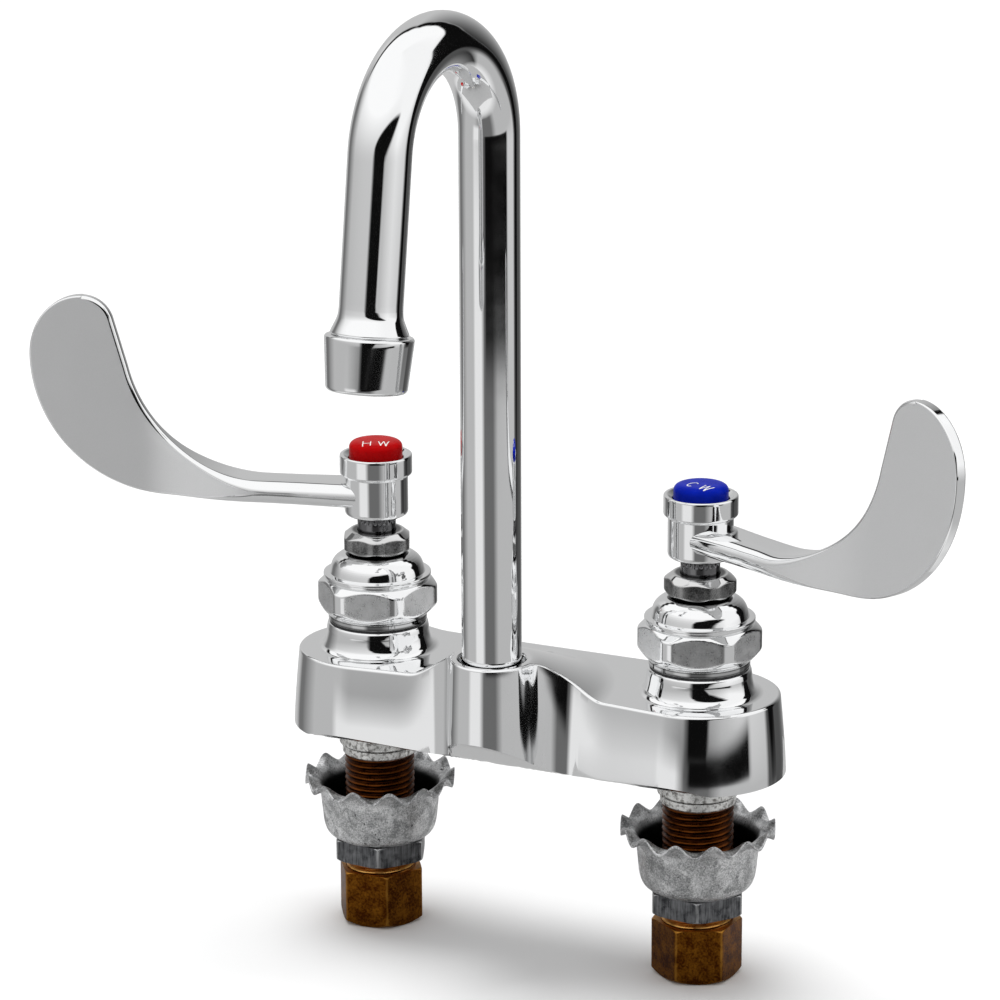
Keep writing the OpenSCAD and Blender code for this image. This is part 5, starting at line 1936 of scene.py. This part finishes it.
@dataclass
class Studio:
    """White floor, soft light and the camera at the photograph's angle.

    Polished metal mirrors a room. Directions in it are told by the angle to the right of the
    camera's side, and by the elevation, both in degrees. Its walls get lighter upwards. There is a
    dark opening round the camera, a bright panel to the right, and behind it a black screen whose
    frame arches over a grey backdrop. Below level lie a shaded, a dark and two light patches of floor.
    """

    camera_at: Triple = (475.6, -1001.2, 388.0)
    azimuth: float = radians(25.9275)
    elevation: float = radians(15.8865)
    roll: float = radians(-0.24466)
    lens: float = 146.66
    sensor: float = 36.0
    far_clip: float = 20.0
    floor_z: float = -61.5
    floor_half: float = 2500.0
    floor_drop: float = 0.1
    floor_grey: float = 0.88
    sheet_half: float = 180.0
    sheet_drop: float = 0.05
    # Grey of the mirrored sheet: painted shade of the floor round the faucet.
    sheet_shade_grey: float = 0.38
    soft_light: float = 0.72
    key_energy: float = 1.9
    key_angle: float = radians(34)
    key_from: Triple = (-0.20, 0.12, 1.25)
    wall: tuple[float, float] = (0.50, 1.06)
    wall_rise: tuple[float, float] = (-4.0, 35.0)
    bright_panel: Screen = Screen(1.0, (-16, 2), (26, 62, 97, 114))
    dim_corner: Screen = Screen(0.17, (-50, -40, 12, 34), (205, 222, 232, 262), True)
    shaded_floor: Screen = Screen(0.15, (-46, -38, -12, -4), (-55, -28, 9, 27))
    dark_floor: Screen = Screen(0.08, (-24, -17, -12, -6), (98, 104, 136, 168))
    near_floor: Screen = Screen(0.86, (-38, -50))
    lit_floor: Screen = Screen(0.84, (-30, -24, -12, -9), (-66, -58, -34, -22))
    dark_opening: Opening = Opening()
    black: float = 0.004
    backdrop: tuple[float, float] = (0.03, 0.56)
    backdrop_turn: tuple[float, float] = (124.0, 178.0)
    backdrop_across: tuple[float, ...] = (118, 124, 202, 222)
    backdrop_edge: tuple[float, float] = (-3.0, 3.0)
    frame_across: tuple[float, ...] = (99, 101, 226, 236)
    frame_outer_edge: tuple[float, float] = (-1.5, 1.5)
    frame_inner_edge: tuple[float, float] = (-3.0, 1.5)
    frame_top: tuple[tuple[float, float], ...] = (
        (100, 22), (115, 28), (127, 41), (145, 53), (168, 59), (195, 54), (213, 42), (230, 29), (236, 20),
    )
    frame_foot: tuple[tuple[float, float], ...] = (
        (100, 21), (107, -12), (112, -16), (122, -14), (126, 15), (136, 34), (152, 47), (180, 53),
        (195, 46), (213, 33), (228, 23), (236, 19),
    )

    def build_camera(self) -> None:
        """Sets up the camera from its azimuth, its elevation and its roll about its own axis."""
        a, e, c = self.azimuth, self.elevation, self.roll
        right = Vector((np.cos(a), np.sin(a), 0.0))
        forward = Vector((-np.sin(a) * np.cos(e), np.cos(a) * np.cos(e), -np.sin(e)))
        up = right.cross(forward)
        x_axis = right * np.cos(c) + up * np.sin(c)
        y_axis = up * np.cos(c) - right * np.sin(c)
        data = bpy.data.cameras.new("photo_camera")
        data.lens = self.lens
        data.sensor_width = self.sensor
        data.clip_end = self.far_clip
        camera = bpy.data.objects.new("photo_camera", data)
        turn = Matrix((x_axis, y_axis, -forward)).transposed().to_4x4()
        camera.matrix_world = Matrix.Translation(Vector(self.camera_at) * MM) @ turn
        bpy.context.scene.collection.objects.link(camera)
        bpy.context.scene.camera = camera

    def build_floor(self) -> None:
        """A wide plain floor, and the smaller, greyer sheet on it that the metal mirrors, whose grey is
        painted shade of the floor round the faucet.
        """
        floor_paper = self.paper("floor_paper", self.floor_grey)
        floor = self.sheet("floor", self.floor_half, self.floor_drop, floor_paper)
        sheet_paper = self.paper("sheet_paper", self.sheet_shade_grey)
        mirrored = self.sheet("mirrored_sheet", self.sheet_half, self.sheet_drop, sheet_paper)
        floor.visible_glossy = False
        mirrored.visible_camera = False
        mirrored.visible_diffuse = False
        mirrored.visible_shadow = False

    @staticmethod
    def paper(name: str, grey: float) -> Material:
        """Matt paper with a barely uneven tone.

        Args:
            name: Name of the material.
            grey: Its tone.

        Returns:
            The material.
        """
        graph = Graph(name)
        fibre = graph.noise(40.0, 3.0)
        graph.dress(Base_Color=graph.mix(fibre, (grey - 0.01,) * 3, (grey + 0.01,) * 3), Roughness=0.9)
        return graph.material

    def sheet(self, name: str, half: float, drop: float, material: Material) -> bpy.types.Object:
        """A square sheet, a little below the lowest nut, turned to face the camera.

        Args:
            name: Name of the sheet.
            half: Half its width.
            drop: How far it lies below the floor's height.
            material: Its material.

        Returns:
            The object.
        """
        across, deep = np.meshgrid(np.linspace(-half, half, 3), np.linspace(-half, half, 3))
        x = across * np.cos(self.azimuth) - deep * np.sin(self.azimuth)
        y = across * np.sin(self.azimuth) + deep * np.cos(self.azimuth)
        shell = Shell(np.stack([x, y, np.full_like(x, self.floor_z - drop)], axis=-1), (False, False))
        mesh = bpy.data.meshes.new(name)
        mesh.from_pydata(shell.points.reshape(-1, 3) * MM, [], shell.quads()[:, ::-1].tolist())
        mesh.materials.append(material)
        item = bpy.data.objects.new(name, mesh)
        bpy.context.scene.collection.objects.link(item)
        return item

    @staticmethod
    def border(nodes: Nodes, turn: Socket, points: tuple[tuple[float, float], ...]) -> Socket:
        """Elevation of a border that runs straight from point to point.

        A colour ramp over the full turn holds each elevation as the grey (elevation + 90) / 180.

        Args:
            nodes: The nodes of the world.
            turn: Angle from 0 to 360.
            points: (angle, elevation) of each point.

        Returns:
            The border's elevation at the angle.
        """
        ramp = nodes.add("ShaderNodeValToRGB", {0: nodes.span(turn, 0.0, 360.0)})
        elements = ramp.color_ramp.elements
        for place, (angle, height) in enumerate(points):
            share = (height + 90) / 180
            element = elements[place] if place < 2 else elements.new(angle / 360)
            element.position = angle / 360
            element.color = (share, share, share, 1.0)
        return nodes.span(ramp.outputs[0], 0.0, 1.0, -90.0, 90.0)

    @staticmethod
    def within(nodes: Nodes, value: Socket, edges: tuple[float, ...]) -> Socket | float:
        """Mask of a value: 1 between a rise and a fall, fading to 0 over both.

        Args:
            nodes: The nodes of the world.
            value: The value that is judged.
            edges: Start and end of the rise, then start and end of the fall; with two there is no
                fall, and with none the mask is 1.

        Returns:
            The mask.
        """
        if not edges:
            return 1.0
        rise = nodes.span(value, *edges[:2])
        if len(edges) == 2:
            return rise
        return nodes.sum(rise, nodes.span(value, edges[3], edges[2]), "MULTIPLY")

    @staticmethod
    def layer(
        nodes: Nodes, view: Socket, across: Socket | float, along: Socket | float, grey: Socket | float
    ) -> Socket:
        """Lays a grey over the view, as far as the product of the masks by angle and elevation is 1."""
        tone = grey if isinstance(grey, bpy.types.NodeSocket) else (grey,) * 3
        return nodes.mix(nodes.sum(across, along, "MULTIPLY"), view, tone)

    def lay(
        self, nodes: Nodes, view: Socket, ways: tuple[Socket, Socket, Socket], screen: Screen
    ) -> Socket:
        """Lays a screen over the view.

        Args:
            nodes: The nodes of the world.
            view: What has been laid so far.
            ways: The two angles and the elevation.
            screen: The screen.

        Returns:
            The new view.
        """
        turn, full_turn, rise = ways
        across = self.within(nodes, full_turn if screen.full_turn else turn, screen.across)
        return self.layer(nodes, view, across, self.within(nodes, rise, screen.along), screen.grey)

    def directions(self, nodes: Nodes) -> tuple[Socket, Socket, Socket]:
        """Where a ray looks, in degrees.

        The angle is the arc tangent of the ray's parts along the camera's right and towards the
        camera, and the elevation is the arc sine of its height.

        Args:
            nodes: The nodes of the world.

        Returns:
            Angle from -180 to 180, the same from 0 to 360, and elevation.
        """
        way = nodes.add("ShaderNodeTexCoord").outputs["Generated"]
        right = (np.cos(self.azimuth), np.sin(self.azimuth), 0.0)
        nearer = (np.sin(self.azimuth), -np.cos(self.azimuth), 0.0)
        dots = []
        for axis in (right, nearer):
            dot = nodes.add("ShaderNodeVectorMath", {0: way, 1: axis}, operation="DOT_PRODUCT")
            dots.append(dot.outputs["Value"])
        turn = nodes.sum(*dots, "ARCTAN2")
        turn = nodes.sum(turn, 180 / pi, "MULTIPLY")
        height = nodes.add("ShaderNodeSeparateXYZ", {0: way}).outputs["Z"]
        rise = nodes.sum(nodes.sum(height, 0.0, "ARCSINE"), 180 / pi, "MULTIPLY")
        return turn, nodes.sum(nodes.sum(turn, 360.0), 360.0, "MODULO"), rise

    def surroundings(self, nodes: Nodes) -> Socket:
        """What polished metal mirrors, by direction, laid from the walls to the nearest screen.

        Args:
            nodes: The nodes of the world.

        Returns:
            The colour.
        """
        ways = self.directions(nodes)
        turn, full_turn, rise = ways
        view = nodes.span(rise, *self.wall_rise, *self.wall)
        for screen in (self.bright_panel, self.dim_corner):
            view = self.lay(nodes, view, ways, screen)
        foot = self.border(nodes, full_turn, self.frame_foot)
        inside = nodes.span(nodes.sum(foot, rise, "SUBTRACT"), *self.backdrop_edge)
        cloth = nodes.span(full_turn, *self.backdrop_turn, *self.backdrop)
        view = self.layer(nodes, view, self.within(nodes, full_turn, self.backdrop_across), inside, cloth)
        for screen in (self.shaded_floor, self.dark_floor, self.near_floor, self.lit_floor):
            view = self.lay(nodes, view, ways, screen)
        leaf = self.opening(nodes, turn, rise)
        view = self.layer(nodes, view, leaf, self.within(nodes, turn, self.dark_opening.across), self.black)
        top = self.border(nodes, full_turn, self.frame_top)
        below_top = nodes.span(nodes.sum(top, rise, "SUBTRACT"), *self.frame_outer_edge)
        above_foot = nodes.span(nodes.sum(rise, foot, "SUBTRACT"), *self.frame_inner_edge)
        inside = nodes.sum(below_top, above_foot, "MULTIPLY")
        return self.layer(nodes, view, self.within(nodes, full_turn, self.frame_across), inside, self.black)

    def opening(self, nodes: Nodes, turn: Socket, rise: Socket) -> Socket:
        """Mask of the dark opening and of the level strip below it.

        The opening lies below an arch, where the squares of the shares of its half width and height
        add to 1. It lies above its foot: the highest of a level line and the lower one of two lines
        that climb to the right.

        Args:
            nodes: The nodes of the world.
            turn: Angle from -180 to 180.
            rise: Elevation.

        Returns:
            1 in the opening or the strip, 0 outside them.
        """
        shape = self.dark_opening
        across = nodes.sum(nodes.sum(turn, shape.middle, "SUBTRACT"), shape.half, "DIVIDE")
        up = nodes.sum(nodes.sum(rise, 0.0, "MAXIMUM"), shape.height, "DIVIDE")
        far = nodes.sum(nodes.sum(across, across, "MULTIPLY"), nodes.sum(up, up, "MULTIPLY"))
        strip_across = self.within(nodes, turn, shape.strip_across)
        strip = nodes.sum(self.within(nodes, rise, shape.strip), strip_across, "MULTIPLY")
        lines = []
        for start, slope, offset in (shape.slow, shape.steep):
            climb = nodes.sum(nodes.sum(turn, start, "SUBTRACT"), slope, "MULTIPLY")
            lines.append(nodes.sum(climb, offset, "SUBTRACT"))
        foot = nodes.sum(nodes.sum(*lines, "MINIMUM"), shape.foot, "MAXIMUM")
        above = nodes.span(nodes.sum(rise, foot, "SUBTRACT"), *shape.foot_edge)
        leaf = nodes.sum(nodes.span(far, *shape.arch_edge), above, "MULTIPLY")
        return nodes.sum(leaf, strip, "MAXIMUM")

    def build_world(self) -> None:
        """Plain white for the camera, dimmer for diffuse light, and the grey room for mirrored light.

        The plain world's strength is the soft light, plus for the camera what is missing to 1.
        """
        world = bpy.data.worlds.new("studio")
        world.use_nodes = True
        bpy.context.scene.world = world
        nodes = Nodes(world.node_tree)
        nodes.tree.nodes.clear()
        light = nodes.add("ShaderNodeLightPath")
        mirrored = nodes.add("ShaderNodeBackground", {"Color": self.surroundings(nodes), "Strength": 1.0})
        missing = nodes.sum(light.outputs["Is Camera Ray"], 1.0 - self.soft_light, "MULTIPLY")
        strength = nodes.sum(missing, self.soft_light)
        plain = nodes.add("ShaderNodeBackground", {"Color": (1.0, 1.0, 1.0, 1.0), "Strength": strength})
        inputs = {0: light.outputs["Is Glossy Ray"], 1: plain.outputs[0], 2: mirrored.outputs[0]}
        mixed = nodes.add("ShaderNodeMixShader", inputs)
        nodes.add("ShaderNodeOutputWorld", {"Surface": mixed.outputs[0]})

    def build_key(self) -> None:
        """One broad sun from nearly overhead, a little from the left and behind."""
        data = bpy.data.lights.new("key", "SUN")
        data.energy = self.key_energy
        data.angle = self.key_angle
        key = bpy.data.objects.new("key", data)
        key.matrix_world = Vector(self.key_from).to_track_quat("Z", "Y").to_matrix().to_4x4()
        key.visible_glossy = False
        bpy.context.scene.collection.objects.link(key)

    def build(self) -> None:
        """Builds camera, floor, world and key light."""
        self.build_camera()
        self.build_floor()
        self.build_world()
        self.build_key()
        bpy.context.scene.view_settings.view_transform = "Standard"


def main() -> None:
    """Builds studio and faucet in order."""
    logging.basicConfig(level=logging.INFO, format="%(name)s: %(message)s")
    finishes = Finishes()
    assemblies = [Studio(), DeckBody(finishes), Spout(finishes), InnerPieces(finishes)]
    for side in Side:
        assemblies += [Cartridge(finishes, side), WristHandle(finishes, side), Mounting(finishes, side)]
    for assembly in assemblies:
        LOG.info("building %s", type(assembly).__name__)
        assembly.build()


if __name__ == "__main__":
    main()
